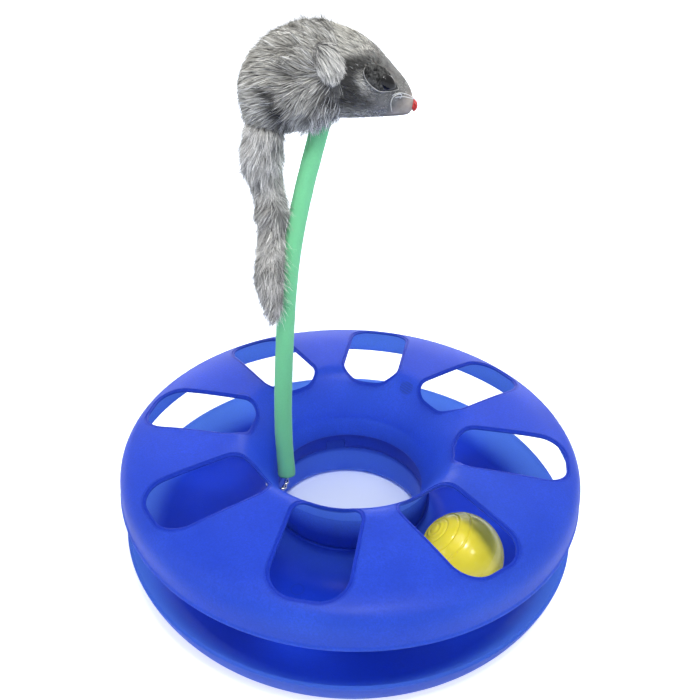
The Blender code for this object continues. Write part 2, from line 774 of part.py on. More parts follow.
def on_surface(obj, place, side):
    """Where a line across the mouse meets the side of this piece, and the way that the surface faces there."""
    tree = BVHTree.FromObject(obj, bpy.context.evaluated_depsgraph_get())
    frame = mouse_matrix()
    start = frame @ Vector((place[0], side * 60 * MM, place[1]))
    towards = frame.to_3x3() @ Vector((0, -side, 0))
    to_object = obj.matrix_world.inverted()
    hit, normal, _, _ = tree.ray_cast(to_object @ start, to_object.to_3x3() @ towards)
    return obj.matrix_world @ hit, (obj.matrix_world.to_3x3() @ normal).normalized()


def lying_on(obj, place, side, tilt):
    """The matrix of a flat piece that lies on the side of this one, its long axis tilted from the nose's way."""
    hit, normal = on_surface(obj, place, side)
    forward = mouse_matrix().to_3x3() @ Vector((1, 0, 0))
    forward = (forward - normal * forward.dot(normal)).normalized()
    across = normal.cross(forward)
    turn = Matrix((forward, across, normal)).transposed().to_4x4()
    # Seen from the mouse's right the nose points the other way round the normal than on its left.
    return Matrix.Translation(hit) @ turn @ Matrix.Rotation(math.radians(-side * tilt), 4, "Z")


def mouse_body(parts, cutters, parent, sleeve_line_end, tail_pivot, tail_radius):
    finish = material("grey_fur_body", (0.42, 0.41, 0.39), 0.95)
    body = swelling_form("mouse_body", BODY_SECTIONS, 0.0, parts, finish, parent)
    direction = wand_direction()
    start = sleeve_line_end - direction * 40 * MM
    sleeve_seat = round_hole(
        "sleeve_seat_cutter",
        0.5 * SLEEVE_DIAMETER + GAP,
        start,
        sleeve_line_end + direction * (SLEEVE_INTO_MOUSE + GAP),
        cutters,
    )
    wire_seat = round_hole(
        "wire_seat_cutter",
        0.5 * (STRAND_SPACING + STRAND_DIAMETER) + GAP,
        start,
        sleeve_line_end + direction * (WIRE_INTO_MOUSE + GAP),
        cutters,
    )
    cut(body, sleeve_seat)
    cut(body, wire_seat)
    cut(body, tail_socket("tail_root_socket_cutter", tail_pivot, tail_radius, cutters))
    return body


def mouse_head(parts, cutters, parent):
    finish = material("grey_fur_head", (0.36, 0.35, 0.34), 0.85)
    head = swelling_form("mouse_head", HEAD_SECTIONS, 0.0, parts, finish, parent)
    grown_body = as_cutter(swelling_form("grown_body_cutter", BODY_SECTIONS, GAP, cutters))
    cut(head, grown_body)
    return head, grown_body


def side_pieces(parts, parent, body, head, body_cutter, head_cutter):
    """The ears, eye drops and eye beads, one of each on either side."""
    ear_finish = material("ear_fur", (0.62, 0.60, 0.57), 0.95)
    patch_finish = material("eye_drop", (0.03, 0.03, 0.035), 0.15)
    bead_finish = material("eye_bead_black", (0.005, 0.005, 0.006), 0.05)
    for word, side in (("right", -1), ("left", 1)):
        place = lying_on(body, EAR_PLACE, side, EAR_TILT)
        mesh = ball_mesh("ear_" + word, EAR_SIZE, 14, 8, place)
        ear = add_object("ear_" + word, mesh, parts, ear_finish, parent)
        cut(ear, body_cutter)
        cut(ear, head_cutter)
        place = lying_on(head, EYE_PATCH_PLACE, side, EYE_TILT)
        mesh = ball_mesh("eye_patch_" + word, EYE_PATCH_SIZE, 14, 8, place)
        patch = add_object("eye_patch_" + word, mesh, parts, patch_finish, parent)
        cut(patch, head_cutter)
        place = lying_on(head, EYE_BEAD_PLACE, side, EYE_TILT)
        mesh = ball_mesh("eye_bead_" + word, EYE_BEAD_SIZE, 12, 8, place)
        bead = add_object("eye_bead_" + word, mesh, parts, bead_finish, parent)
        cut(bead, head_cutter)
        seat_size = [half + GAP for half in EYE_BEAD_SIZE]
        seat = ball_mesh("bead_seat_" + word, seat_size, 12, 8, place)
        cut(patch, as_cutter(add_object("bead_seat_" + word, seat, head_cutter.users_collection[0])))


def nose(parts, parent, head_cutter):
    finish = material("red_thread", (0.62, 0.03, 0.03), 0.6)
    mesh = ball_mesh("nose", NOSE_SIZE, 12, 8, mouse_matrix() @ Matrix.Translation(NOSE_PLACE))
    piece = add_object("nose", mesh, parts, finish, parent)
    cut(piece, head_cutter)
    return piece


def whiskers(parts, parent, head):
    finish = material("white_nylon", (0.85, 0.85, 0.83), 0.3)
    frame = mouse_matrix()
    for word, side in (("right", -1), ("left", 1)):
        for i, (root, rest) in enumerate(WHISKERS):
            hit, normal = on_surface(head, (root[0] * MM, root[1] * MM), side)
            start = hit + normal * (GAP + 0.5 * WHISKER_DIAMETER)
            points = [start] + [frame @ (Vector((x, side * y, z)) * MM) for x, y, z in rest]
            line = smooth_line(points, 2.2 * MM)
            name = f"whisker_{word}_{i + 1}"
            tube(name, line, 0.5 * WHISKER_DIAMETER, 6, parts, finish, parent=parent)


def tail_socket(name, pivot, radius, cutters):
    """A cutter that hollows the end of a piece for the round top of the next length of tail."""
    size = (radius + TAIL_SOCKET_CLEARANCE,) * 3
    mesh = ball_mesh(name, size, 16, 10, Matrix.Translation(pivot))
    return as_cutter(add_object(name, mesh, cutters))


def tail_length(name, parts, parent, next_pivot=None):
    """One length of tail: a round top on its pivot, then a tube that swells along its line."""
    stations = TAIL_LENGTHS[name]
    places = [Vector(station[:3]) * MM for station in stations]
    radii = [station[3] * MM for station in stations]
    if next_pivot is not None:
        away = (places[-1] - next_pivot).normalized()
        places.append(next_pivot + away * TAIL_OVERHANG)
        radii.append(TAIL_LENGTHS[name_after(name)][0][3] * MM + 0.6 * MM)
    line = smooth_line(places, 3.6 * MM)
    travelled = [0.0]
    for place, other in zip(line, line[1:]):
        travelled.append(travelled[-1] + (other - place).length)
    marks = [0.0]
    for place, other in zip(places, places[1:]):
        marks.append(marks[-1] + (other - place).length)
    swell = [interpolated(marks, radii, distance * marks[-1] / travelled[-1]) for distance in travelled]
    up = (line[0] - line[1]).normalized()
    cap = []
    cap_radii = []
    for degrees in (84.0, 60.0, 30.0):
        cap.append(line[0] + up * radii[0] * math.sin(math.radians(degrees)))
        cap_radii.append(radii[0] * math.cos(math.radians(degrees)))
    widest = max(radii)
    finish = material("grey_fur_" + name, (0.46, 0.45, 0.43), 0.95)
    return tube(name, cap + line, widest, TAIL_SIDES, parts, finish, cap_radii + swell, parent)


def interpolated(marks, values, at):
    """A smooth value between marks."""
    for i in range(len(marks) - 1):
        if at <= marks[i + 1] or i == len(marks) - 2:
            t = (at - marks[i]) / (marks[i + 1] - marks[i])
            t = min(max(t, 0.0), 1.0)
            t = t * t * (3 - 2 * t)
            return values[i] + (values[i + 1] - values[i]) * t
    return values[-1]


def name_after(name):
    names = list(TAIL_LENGTHS)
    return names[names.index(name) + 1]


def tail(parts, cutters, parent):
    """The three lengths, each carried by the one above it."""
    names = list(TAIL_LENGTHS)
    for name in names:
        pivot = Vector(TAIL_LENGTHS[name][0][:3]) * MM
        parent = add_axis(name + "_axis", pivot, parts, parent)
        last = name == names[-1]
        following = None if last else Vector(TAIL_LENGTHS[name_after(name)][0][:3]) * MM
        piece = tail_length(name, parts, parent, following)
        if not last:
            radius = TAIL_LENGTHS[name_after(name)][0][3] * MM
            cut(piece, tail_socket(name + "_end_cutter", following, radius, cutters))


def build():
    clear_scene()
    parts = collection("cat_ball_track_toy")
    cutters = collection("cutters")
    cutters.hide_render = True
    upper_shell(parts, cutters)
    lower_shell(parts, cutters)
    track_ball(parts)
    outward, _ = wire_frame()
    hole = outward * (COLLAR_BORE_RADIUS + 0.5 * WALL) + Vector((0, 0, WIRE_HEIGHT))
    hook_axis = add_axis("hook_axis", hole, parts)
    wire_hook(parts, hook_axis)
    wand_axis = add_axis("wand_axis", hole, parts, hook_axis)
    wire_strand("wire_strand_a", -1, parts, wand_axis)
    wire_strand("wire_strand_b", 1, parts, wand_axis)
    foam_sleeve(parts, cutters, wand_axis)
    tail_top = TAIL_LENGTHS["tail_root"][0]
    body = mouse_body(
        parts, cutters, wand_axis, WAND_LINE[-1], Vector(tail_top[:3]) * MM, tail_top[3] * MM
    )
    head, body_cutter = mouse_head(parts, cutters, wand_axis)
    head_cutter = as_cutter(swelling_form("grown_head_cutter", HEAD_SECTIONS, GAP, cutters))
    side_pieces(parts, wand_axis, body, head, body_cutter, head_cutter)
    nose(parts, wand_axis, head_cutter)
    whiskers(parts, wand_axis, head)
    tail(parts, cutters, wand_axis)


build()
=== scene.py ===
"""A cat ball track toy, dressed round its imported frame: two blue mouldings with a yellow ball between them, and a
foam-sleeved wire that holds up a fur mouse. Metres, +Z up, with the origin at the middle of the ring's underside."""

import math

import bmesh
import bpy
import numpy as np
from mathutils import Matrix, Vector, noise
from mathutils.bvhtree import BVHTree
from mathutils.kdtree import KDTree


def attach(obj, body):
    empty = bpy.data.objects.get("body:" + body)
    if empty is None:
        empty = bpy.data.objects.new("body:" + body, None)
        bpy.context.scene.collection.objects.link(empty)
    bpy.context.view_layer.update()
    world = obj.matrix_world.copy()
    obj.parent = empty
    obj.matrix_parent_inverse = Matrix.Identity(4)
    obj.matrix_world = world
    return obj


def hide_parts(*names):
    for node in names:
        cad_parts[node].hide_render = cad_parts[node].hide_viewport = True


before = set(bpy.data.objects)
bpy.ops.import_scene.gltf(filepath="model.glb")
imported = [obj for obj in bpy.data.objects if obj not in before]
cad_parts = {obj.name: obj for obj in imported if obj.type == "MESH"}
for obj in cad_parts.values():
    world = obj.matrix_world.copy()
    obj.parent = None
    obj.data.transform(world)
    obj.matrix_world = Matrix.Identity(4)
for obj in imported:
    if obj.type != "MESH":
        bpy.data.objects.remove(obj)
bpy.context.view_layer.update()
MM = 0.001

# Upper half of the track

# One thin injection moulding in frosted, see-through blue polypropylene: a dome with eight windows, a funnel
# and a short collar. It snaps over the hub of the lower half, with three tongues in notches of the collar.
WALL = 1.8 * MM
UPPER_RIM = (120.0 * MM, 42.9 * MM)
CREST = (59.9 * MM, 64.5 * MM)
LIP = (39.3 * MM, 31.1 * MM)
COLLAR_BORE = 41.0 * MM
COLLAR_FOOT = 19.8 * MM
WINDOW_ENDS = (54.9 * MM, 111.3 * MM)
WINDOW_WIDTH = 33.3 * MM
WINDOW_WIDENING = 0.026
WINDOW_CORNERS = (11.0 * MM, 12.5 * MM)
WINDOW_EDGE_ROUND = 0.5 * MM
WINDOW_RIM = 1.7 * MM
WINDOW_STEP = 0.5 * MM
SECTORS = 8
FIRST_SECTOR = math.radians(-99.0)


def run_along(points):
    """How far along a line each of its points lies."""
    return np.concatenate([[0.0], np.cumsum(np.linalg.norm(np.diff(points, axis=0), axis=1))])


def superellipse(centre, reach, fullness):
    angle = np.linspace(0.0, 0.5 * np.pi, 1600)
    across = np.cos(angle) ** (2.0 / fullness)
    up = np.sin(angle) ** (2.0 / fullness)
    return np.column_stack([centre[0] + reach[0] * across, centre[1] + reach[1] * up])


class Line:
    """A line of (radius, height) that can be read by its own length or by radius."""

    def __init__(self, points):
        growing = np.maximum.accumulate(points[:, 0])
        keep = np.concatenate([[True], growing[1:] > growing[:-1]])
        self.points = points[keep]
        self.length = run_along(self.points)

    def at(self, length):
        radius = np.interp(length, self.length, self.points[:, 0])
        return radius, np.interp(length, self.length, self.points[:, 1])

    def place_of(self, radius):
        return np.interp(radius, self.points[:, 0], self.length)


def inward(points, distance):
    along = np.gradient(points, axis=0)
    along /= np.linalg.norm(along, axis=1)[:, None]
    return points + np.column_stack([along[:, 1], -along[:, 0]]) * distance


def softened(points, radius, spread, reach):
    """The same line, evenly spaced, with the turn at this radius smoothed over the spread."""
    length = run_along(points)
    even = np.linspace(0.0, length[-1], 3000)
    line = np.column_stack([np.interp(even, length, points[:, 0]), np.interp(even, length, points[:, 1])])
    offsets = np.arange(-300, 301)
    weights = np.exp(-0.5 * (offsets * even[1] / spread) ** 2)
    padded = np.pad(line, ((300, 300), (0, 0)), mode="edge")
    smooth = np.column_stack([np.convolve(padded[:, k], weights / weights.sum(), "valid") for k in (0, 1)])
    share = np.clip(2.0 - np.abs(line[:, :1] - radius) / reach, 0.0, 1.0)
    return line * (1 - share) + smooth * share


def window_outline(grow):
    """One window's outline as (radius, azimuth) about its sector's middle, and where each quarter starts."""
    middle = 0.5 * sum(WINDOW_ENDS)
    arcs = []
    for end, way, side, corner, start in (
        (WINDOW_ENDS[1], -1, -1, WINDOW_CORNERS[1], -90),
        (WINDOW_ENDS[1], -1, 1, WINDOW_CORNERS[1], 0),
        (WINDOW_ENDS[0], 1, 1, WINDOW_CORNERS[0], 90),
        (WINDOW_ENDS[0], 1, -1, WINDOW_CORNERS[0], 180),
    ):
        half = 0.5 * (WINDOW_WIDTH + WINDOW_WIDENING * (end - middle))
        centre = np.array([end + way * corner, side * (half - corner)])
        angle = np.radians(start + np.linspace(0, 90, 13))
        arcs.append(centre + (corner + grow) * np.column_stack([np.cos(angle), np.sin(angle)]))
    quarters = []
    for k, straight in enumerate((6, 20, 10, 20)):
        first, second = arcs[k][6:], arcs[(k + 1) % 4][:6]
        share = np.linspace(0, 1, straight + 2)[1:-1, None]
        quarters.append(np.vstack([first, first[-1] * (1 - share) + second[0] * share, second]))
    points = np.vstack(quarters)
    outline = np.column_stack([np.hypot(points[:, 0], points[:, 1]), np.arctan2(points[:, 1], points[:, 0])])
    return outline, quarters


def sector_border(quarters, low, high):
    """Points on one sector's border, as (length along the line, azimuth), matched to the window's outline."""
    half = math.pi / SECTORS
    corners = [(high, -half), (high, half), (low, half), (low, -half)]
    border = []
    for k, quarter in enumerate(quarters):
        following = quarters[(k + 1) % 4][:1]
        length = run_along(np.vstack([quarter, following]))
        share = (length[:-1] / length[-1])[:, None]
        border.append(np.array(corners[k]) * (1 - share) + np.array(corners[(k + 1) % 4]) * share)
    return np.vstack(border)


def in_scene(name, data):
    obj = bpy.data.objects.new(name, data)
    bpy.context.scene.collection.objects.link(obj)
    return obj


def solid_of_nets(name, nets):
    """One closed mesh from nets of points, (rows, columns, 3) each, which are joined round where wrapped."""
    points, faces, start = [], [], 0
    for net, wrapped in nets:
        rows, columns = net.shape[:2]
        index = start + np.arange(rows * columns).reshape(rows, columns)
        if wrapped:
            index = np.hstack([index, index[:, :1]])
        faces.append(
            np.stack([index[:-1, :-1], index[:-1, 1:], index[1:, 1:], index[1:, :-1]], axis=-1).reshape(-1, 4)
        )
        points.append(net.reshape(-1, 3))
        start += rows * columns
    mesh = bpy.data.meshes.new(name)
    mesh.from_pydata(np.vstack(points).tolist(), [], np.vstack(faces).tolist())
    shape = bmesh.new()
    shape.from_mesh(mesh)
    bmesh.ops.remove_doubles(shape, verts=shape.verts, dist=2e-6)
    bmesh.ops.dissolve_degenerate(shape, edges=shape.edges, dist=1e-7)
    bmesh.ops.recalc_face_normals(shape, faces=shape.faces)
    shape.to_mesh(mesh)
    shape.free()
    mesh.shade_smooth()
    return in_scene(name, mesh)


def full_turn(count):
    """This many angles, evenly round a circle."""
    return np.linspace(0, 2 * math.pi, count + 1)[:-1]


def turned_round(radius, height, azimuth):
    return np.stack([radius * np.cos(azimuth), radius * np.sin(azimuth), height + 0 * azimuth], axis=-1)


def turned(profile, azimuth):
    """A net of a (radius, height) profile, turned round the ring's axis."""
    return turned_round(profile[:, :1], profile[:, 1:], azimuth)


def upper_half():
    outer_edge = UPPER_RIM[1] + 1.9 * MM
    funnel = superellipse((CREST[0], LIP[1]), (LIP[0] - CREST[0], CREST[1] - LIP[1]), 1.28)
    dome = superellipse((CREST[0], UPPER_RIM[1]), (UPPER_RIM[0] - CREST[0], CREST[1] - UPPER_RIM[1]), 4.7)
    top_points = softened(np.vstack([funnel[:-1], dome[::-1]]), CREST[0], 3.5 * MM, 9.0 * MM)
    under_points = inward(top_points, WALL)
    collar_out = COLLAR_BORE + WALL
    past_collar = (under_points[:, 0] > collar_out + 0.2 * MM) & (under_points[:, 1] > UPPER_RIM[1])
    under_points = under_points[past_collar]
    top = Line(top_points[(top_points[:, 1] > outer_edge) | (top_points[:, 0] < CREST[0])])
    under = Line(under_points)
    round_off = WINDOW_EDGE_ROUND
    edge, quarters = window_outline(WINDOW_RIM)
    layers = []
    for line, count, sign in ((top, 24, -1), (under, 20, 1)):
        border = sector_border(quarters, 0.0, line.length[-1])
        inner = np.column_stack([line.place_of(edge[:, 0]), edge[:, 1]])
        rows = []
        for t in np.linspace(0, 1, count):
            place = border * (1 - t) + inner * t
            radius, height = line.at(place[:, 0])
            rows.append(np.column_stack([radius, place[:, 1], height]))
        sunk = WINDOW_STEP if sign < 0 else 0.0
        for grow, depth in (
            (WINDOW_RIM - 0.15 * MM, 0.6 * sunk),
            (WINDOW_RIM - 0.3 * MM, sunk),
            (round_off, sunk),
            (0.5 * round_off, sunk + 0.07 * round_off),
            (0.2 * round_off, sunk + 0.3 * round_off),
            (0.05 * round_off, sunk + 0.62 * round_off),
            (0.0, sunk + round_off),
        ):
            outline, _ = window_outline(grow)
            height = line.at(line.place_of(outline[:, 0]))[1] + sign * depth
            rows.append(np.column_stack([outline[:, 0], outline[:, 1], height]))
        layers.append(rows if sign < 0 else rows[::-1])
    rows = np.array(layers[0] + layers[1])
    nets = []
    for i in range(SECTORS):
        azimuth = rows[:, :, 1] + FIRST_SECTOR + 2 * math.pi * i / SECTORS
        nets.append((turned_round(rows[:, :, 0], rows[:, :, 2], azimuth), True))
    ends = np.cumsum([0] + [len(quarter) for quarter in quarters])
    one = sector_border(quarters, 0.0, 1.0)[:, 1]
    rim_r, rim_z = top.points[-1]
    bead = [(0.25, -0.25), (0.55, -0.6), (0.66, -1.0), (0.62, -1.35), (0.4, -1.7), (0.05, -1.85), (-0.5, -1.9)]
    rim = [(rim_r, rim_z)] + [(UPPER_RIM[0] + a * MM, outer_edge + b * MM) for a, b in bead]
    rim += [(UPPER_RIM[0] - WALL + 0.4 * MM, UPPER_RIM[1]), tuple(under.points[-1])]
    lip_r, lip_z = top.points[0]
    collar = [(lip_r, lip_z)]
    lip_round = ((-0.02, 0.25), (0.1, 0.5), (0.4, 0.72), (1.2, 0.85))
    collar += [(LIP[0] + a * MM, LIP[1] - b * MM) for a, b in lip_round]
    collar += [(COLLAR_BORE - 0.15 * MM, LIP[1] - 1.05 * MM), (COLLAR_BORE, LIP[1] - 1.3 * MM)]
    collar += [(COLLAR_BORE, z * MM) for z in (27.5, 25.0, 22.5)]
    collar += [(COLLAR_BORE, COLLAR_FOOT + 0.3 * MM), (COLLAR_BORE + 0.3 * MM, COLLAR_FOOT)]
    collar += [(collar_out - 0.3 * MM, COLLAR_FOOT), (collar_out, COLLAR_FOOT + 0.3 * MM)]
    collar += [(collar_out, z * MM) for z in (22.5, 25.5, 28.0)]
    under_r, under_z = under.points[0]
    collar += [(collar_out, under_z - 2.0 * MM), (under_r, under_z)]
    for profile, (first, last) in ((rim, (ends[0], ends[1])), (collar, (ends[2], ends[3]))):
        part = one[first:last]
        azimuth = np.concatenate([part + FIRST_SECTOR + 2 * math.pi * i / SECTORS for i in range(SECTORS)])
        order = np.argsort(azimuth)
        azimuth = azimuth[order][None, :]
        nets.append((turned(np.array(profile), azimuth), True))
    return solid_of_nets("track_upper_half", nets)


def curved_blocks(name, inner, outer, low, high, width, count, first):
    """Curved blocks between two radii, spread evenly round the ring."""
    nets = []
    for i in range(count):
        azimuth = math.radians(first + 360.0 * i / count)
        azimuth = azimuth + np.linspace(-0.5, 0.5, 9)[None, :] * width / COLLAR_BORE
        profile = np.array([(inner, low), (outer, low), (outer, high), (inner, high), (inner, low)])
        nets.append((turned(profile, azimuth), False))
    obj = solid_of_nets(name, nets)
    shape = bmesh.new()
    shape.from_mesh(obj.data)
    bmesh.ops.holes_fill(shape, edges=shape.edges, sides=8)
    bmesh.ops.recalc_face_normals(shape, faces=shape.faces)
    shape.to_mesh(obj.data)
    shape.free()
    return obj


def evaluated_mesh(obj):
    bpy.context.view_layer.update()
    return bpy.data.meshes.new_from_object(obj.evaluated_get(bpy.context.evaluated_depsgraph_get()))


def combine(obj, other, operation):
    """Cuts the other object out of this one, or joins it to this one, and removes it."""
    modifier = obj.modifiers.new("combine", "BOOLEAN")
    modifier.operation = operation
    modifier.solver = "EXACT"
    modifier.object = other
    mesh = evaluated_mesh(obj)
    obj.modifiers.clear()
    obj.data = mesh
    bpy.data.objects.remove(other)
    mesh.shade_smooth()
    mesh.set_sharp_from_angle(angle=math.radians(50))


TONGUE_COUNT = 3
TONGUE_AZIMUTH = 103.5
TONGUE_WIDTH = 11.0 * MM
LEDGE = 19.5 * MM
WIRE_AZIMUTH = 193.5
WIRE_HEIGHT = 28.2 * MM
WIRE_HOLE_RADIUS = 1.75 * MM
upper = upper_half()
notches = curved_blocks(
    "notches",
    COLLAR_BORE - 1 * MM,
    COLLAR_BORE + WALL + 1 * MM,
    LEDGE - 1 * MM,
    LEDGE + 6.3 * MM,
    TONGUE_WIDTH + 0.6 * MM,
    TONGUE_COUNT,
    TONGUE_AZIMUTH,
)
combine(upper, notches, "DIFFERENCE")
outward = Vector((math.cos(math.radians(WIRE_AZIMUTH)), math.sin(math.radians(WIRE_AZIMUTH)), 0))
hole_shape = bmesh.new()
hole_ends = {"radius1": WIRE_HOLE_RADIUS, "radius2": WIRE_HOLE_RADIUS, "depth": 5 * MM}
bmesh.ops.create_cone(hole_shape, cap_ends=True, segments=32, **hole_ends)
hole_mesh = bpy.data.meshes.new("wire_hole")
hole_turn = Vector((0, 0, 1)).rotation_difference(outward).to_matrix().to_4x4()
hole_place = outward * (COLLAR_BORE + 0.5 * WALL) + Vector((0, 0, WIRE_HEIGHT))
hole_shape.transform(Matrix.Translation(hole_place) @ hole_turn)
hole_shape.to_mesh(hole_mesh)
hole_shape.free()
combine(upper, in_scene("wire_hole", hole_mesh), "DIFFERENCE")


def read_points(mesh, what="co"):
    values = np.empty(len(mesh.vertices) * 3)
    mesh.vertices.foreach_get(what, values)
    return values.reshape(-1, 3)


def store(mesh, word, values):
    """Keeps one value for each vertex, for the material to read."""
    mesh.attributes.new(word, "FLOAT", "POINT").data.foreach_set("value", values.astype(np.float32))


def painted_edge_shade(obj):
    """1 on the windows' rims and cut faces and down the collar, where shade is painted on the plastic, else 0."""
    points = read_points(obj.data)
    sector = 2 * math.pi / SECTORS
    turn = (np.arctan2(points[:, 1], points[:, 0]) - FIRST_SECTOR + 0.5 * sector) % sector - 0.5 * sector
    radius = np.hypot(points[:, 0], points[:, 1])
    local = np.column_stack([radius * np.cos(turn), radius * np.sin(turn)])
    outline, _ = window_outline(0.0)
    outline = np.column_stack([outline[:, 0] * np.cos(outline[:, 1]), outline[:, 0] * np.sin(outline[:, 1])])
    away = np.min([np.linalg.norm(local - point, axis=1) for point in outline], axis=0)
    rim = np.clip((WINDOW_RIM + 0.5 * MM - away) / (0.6 * MM), 0, 1)
    return np.maximum(rim, np.clip((31.5 * MM - points[:, 2]) / (1.5 * MM), 0, 1) * (radius < 46 * MM))


store(upper.data, "edge", painted_edge_shade(upper))


def new_material(name):
    made = bpy.data.materials.new(name)
    made.use_nodes = True
    return made, made.node_tree, made.node_tree.nodes["Principled BSDF"]


def set_inputs(tree, made, inputs):
    """Sets a node's inputs, each to a value or from a socket to link."""
    for key, value in inputs.items():
        if isinstance(value, bpy.types.NodeSocket):
            tree.links.new(value, made.inputs[key])
        else:
            made.inputs[key].default_value = value


def node(tree, kind, inputs=None, **settings):
    made = tree.nodes.new(kind)
    for key, value in settings.items():
        setattr(made, key, value)
    set_inputs(tree, made, inputs or {})
    return made


def own_place(tree):
    """Places in the piece's own space, so that a pattern moves with the piece."""
    return node(tree, "ShaderNodeTexCoord").outputs["Object"]


def stored(tree, word):
    """A value that was kept for each vertex."""
    return node(tree, "ShaderNodeAttribute", attribute_name=word).outputs["Fac"]


def noise_of(tree, scale, detail=2.0, roughness=0.5, stretch=None):
    place = own_place(tree)
    if stretch is not None:
        place = node(tree, "ShaderNodeMapping", {"Vector": place, "Scale": stretch}).outputs["Vector"]
    inputs = {"Vector": place, "Scale": scale, "Detail": detail, "Roughness": roughness}
    made = node(tree, "ShaderNodeTexNoise", inputs)
    return made.outputs["Fac"]


def ramp_of(tree, factor, stops):
    """A colour ramp with (position, colour) stops."""
    made = node(tree, "ShaderNodeValToRGB", {"Fac": factor})
    elements = made.color_ramp.elements
    while len(elements) < len(stops):
        elements.new(0.5)
    for element, (position, colour) in zip(elements, stops):
        element.position = position
        element.color = (*colour, 1.0)
    return made.outputs["Color"]


def remapped(tree, value, low, high):
    return node(tree, "ShaderNodeMapRange", {"Value": value, "To Min": low, "To Max": high}).outputs["Result"]


def mixed(tree, factor, first, second):
    return node(tree, "ShaderNodeMix", {0: factor, 6: first, 7: second}, data_type="RGBA").outputs[2]


def bumped(tree, shader, layers):
    """Layers of (height socket, strength, distance), one over the other, on the shader's normal."""
    normal = None
    for height, strength, distance in layers:
        inputs = {"Height": height, "Strength": strength, "Distance": distance}
        if normal is not None:
            inputs["Normal"] = normal
        normal = node(tree, "ShaderNodeBump", inputs).outputs["Normal"]
    tree.links.new(normal, shader.inputs["Normal"])


def disc_mask(tree, centre, radius, softness):
    """1 within a round mark on the surface, and 0 outside it."""
    ends = {0: own_place(tree), 1: centre}
    away = node(tree, "ShaderNodeVectorMath", ends, operation="DISTANCE").outputs["Value"]
    inputs = {"Value": away, "From Min": radius + softness, "From Max": radius, "To Min": 0.0, "To Max": 1.0}
    return node(tree, "ShaderNodeMapRange", inputs).outputs["Result"]


def blue_plastic(name, deep, light, clear, marks=()):
    """Frosted blue polypropylene: uneven pigment, spark-eroded grain, light that spreads in the wall, and painted
    shade where the stored edge value is high.
    """
    made, tree, shader = new_material(name)
    grain = node(
        tree,
        "ShaderNodeMath",
        {0: remapped(tree, noise_of(tree, 1000.0, 3.0, 0.8), -1.9, 3.1), 1: noise_of(tree, 55.0, 4.0)},
        operation="MULTIPLY",
        use_clamp=True,
    ).outputs["Value"]
    colour = mixed(tree, grain, (*deep, 1), (*light, 1))
    layers = [(noise_of(tree, 2600.0, 2.0), 0.18, 0.0004), (noise_of(tree, 220.0, 3.0), 0.05, 0.0010)]
    for centre, radius, striped in marks:
        mask = disc_mask(tree, centre, radius, 0.25 * MM)
        layers.append((mask, 0.5, 0.0004))
        stripes = node(
            tree,
            "ShaderNodeTexWave",
            {"Vector": own_place(tree), "Scale": 260.0, "Distortion": 0.6},
            bands_direction="DIAGONAL",
        ).outputs["Fac"]
        inside = remapped(tree, stripes, 0.15, 0.8)
        if not striped:
            inside = remapped(tree, disc_mask(tree, centre, radius - 0.8 * MM, 0.25 * MM), 0.5, 0.0)
        lined = node(tree, "ShaderNodeMath", {0: mask, 1: inside}, operation="MULTIPLY")
        colour = mixed(tree, lined.outputs["Value"], colour, (*[0.1 * c for c in deep], 1))
    # Painted shade: where the stored edge value is high (windows' rims and cut faces, the collar, the hub's top and
    # bore), the blue is painted deeper for the shade there, and is also less glossy and less see-through.
    edge = stored(tree, "edge")
    darker = (0.4 * deep[0], 0.4 * deep[1], 0.7 * deep[2], 1)
    colour = mixed(tree, remapped(tree, edge, 0.0, 0.7), colour, darker)
    roughness = remapped(tree, noise_of(tree, 140.0, 3.0), 0.30, 0.40)
    gloss = remapped(tree, edge, 0.24, 0.08)
    look = {"Base Color": colour, "Roughness": roughness, "IOR": 1.49, "Specular IOR Level": gloss}
    set_inputs(tree, shader, look)
    bumped(tree, shader, layers)
    glow = node(tree, "ShaderNodeBsdfTranslucent", {"Color": (0.38, 0.58, 1.0, 1)})
    both = node(tree, "ShaderNodeMixShader", {0: remapped(tree, edge, clear, 0.4 * clear)})
    tree.links.new(shader.outputs["BSDF"], both.inputs[1])
    tree.links.new(glow.outputs["BSDF"], both.inputs[2])
    tree.links.new(both.outputs["Shader"], tree.nodes["Material Output"].inputs["Surface"])
    return made


upper_blue = blue_plastic(
    "frosted_blue_upper",
    (0.010, 0.046, 0.50),
    (0.050, 0.138, 0.96),
    0.54,
    [
        ((30.7 * MM, 46.4 * MM, 61.5 * MM), 4.0 * MM, True),
        ((-61.6 * MM, 26.3 * MM, 64.3 * MM), 4.2 * MM, False),
    ],
)
upper.data.materials.append(upper_blue)
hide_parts("upper_shell")
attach(upper, "base")

# Lower half of the track

# The same blue moulding in one piece: a flat-bottomed dish with a flared outer wall, and a hub whose ledge
# carries the collar of the upper half. Three tongues of the hub stand in the collar's notches.
LOWER_RIM = (120.2 * MM, 18.2 * MM)
UNDERSIDE = 111.5 * MM
FLOOR = 1.8 * MM
FLOOR_OUTER = 103.0 * MM
HUB = 44.5 * MM
HUB_FILLET = 14.0 * MM
HUB_FOOT_ROUND = 5.0 * MM
HUB_LIP = 21.3 * MM


def every(points, count):
    """This many points along a dense line, evenly by length."""
    length = run_along(points)
    at = np.linspace(0, length[-1], count)
    return [(np.interp(s, length, points[:, 0]), np.interp(s, length, points[:, 1])) for s in at]


def arc(centre, radius, start, end, count):
    angle = np.radians(np.linspace(start, end, count))
    return [(centre[0] + radius * math.cos(a), centre[1] + radius * math.sin(a)) for a in angle]


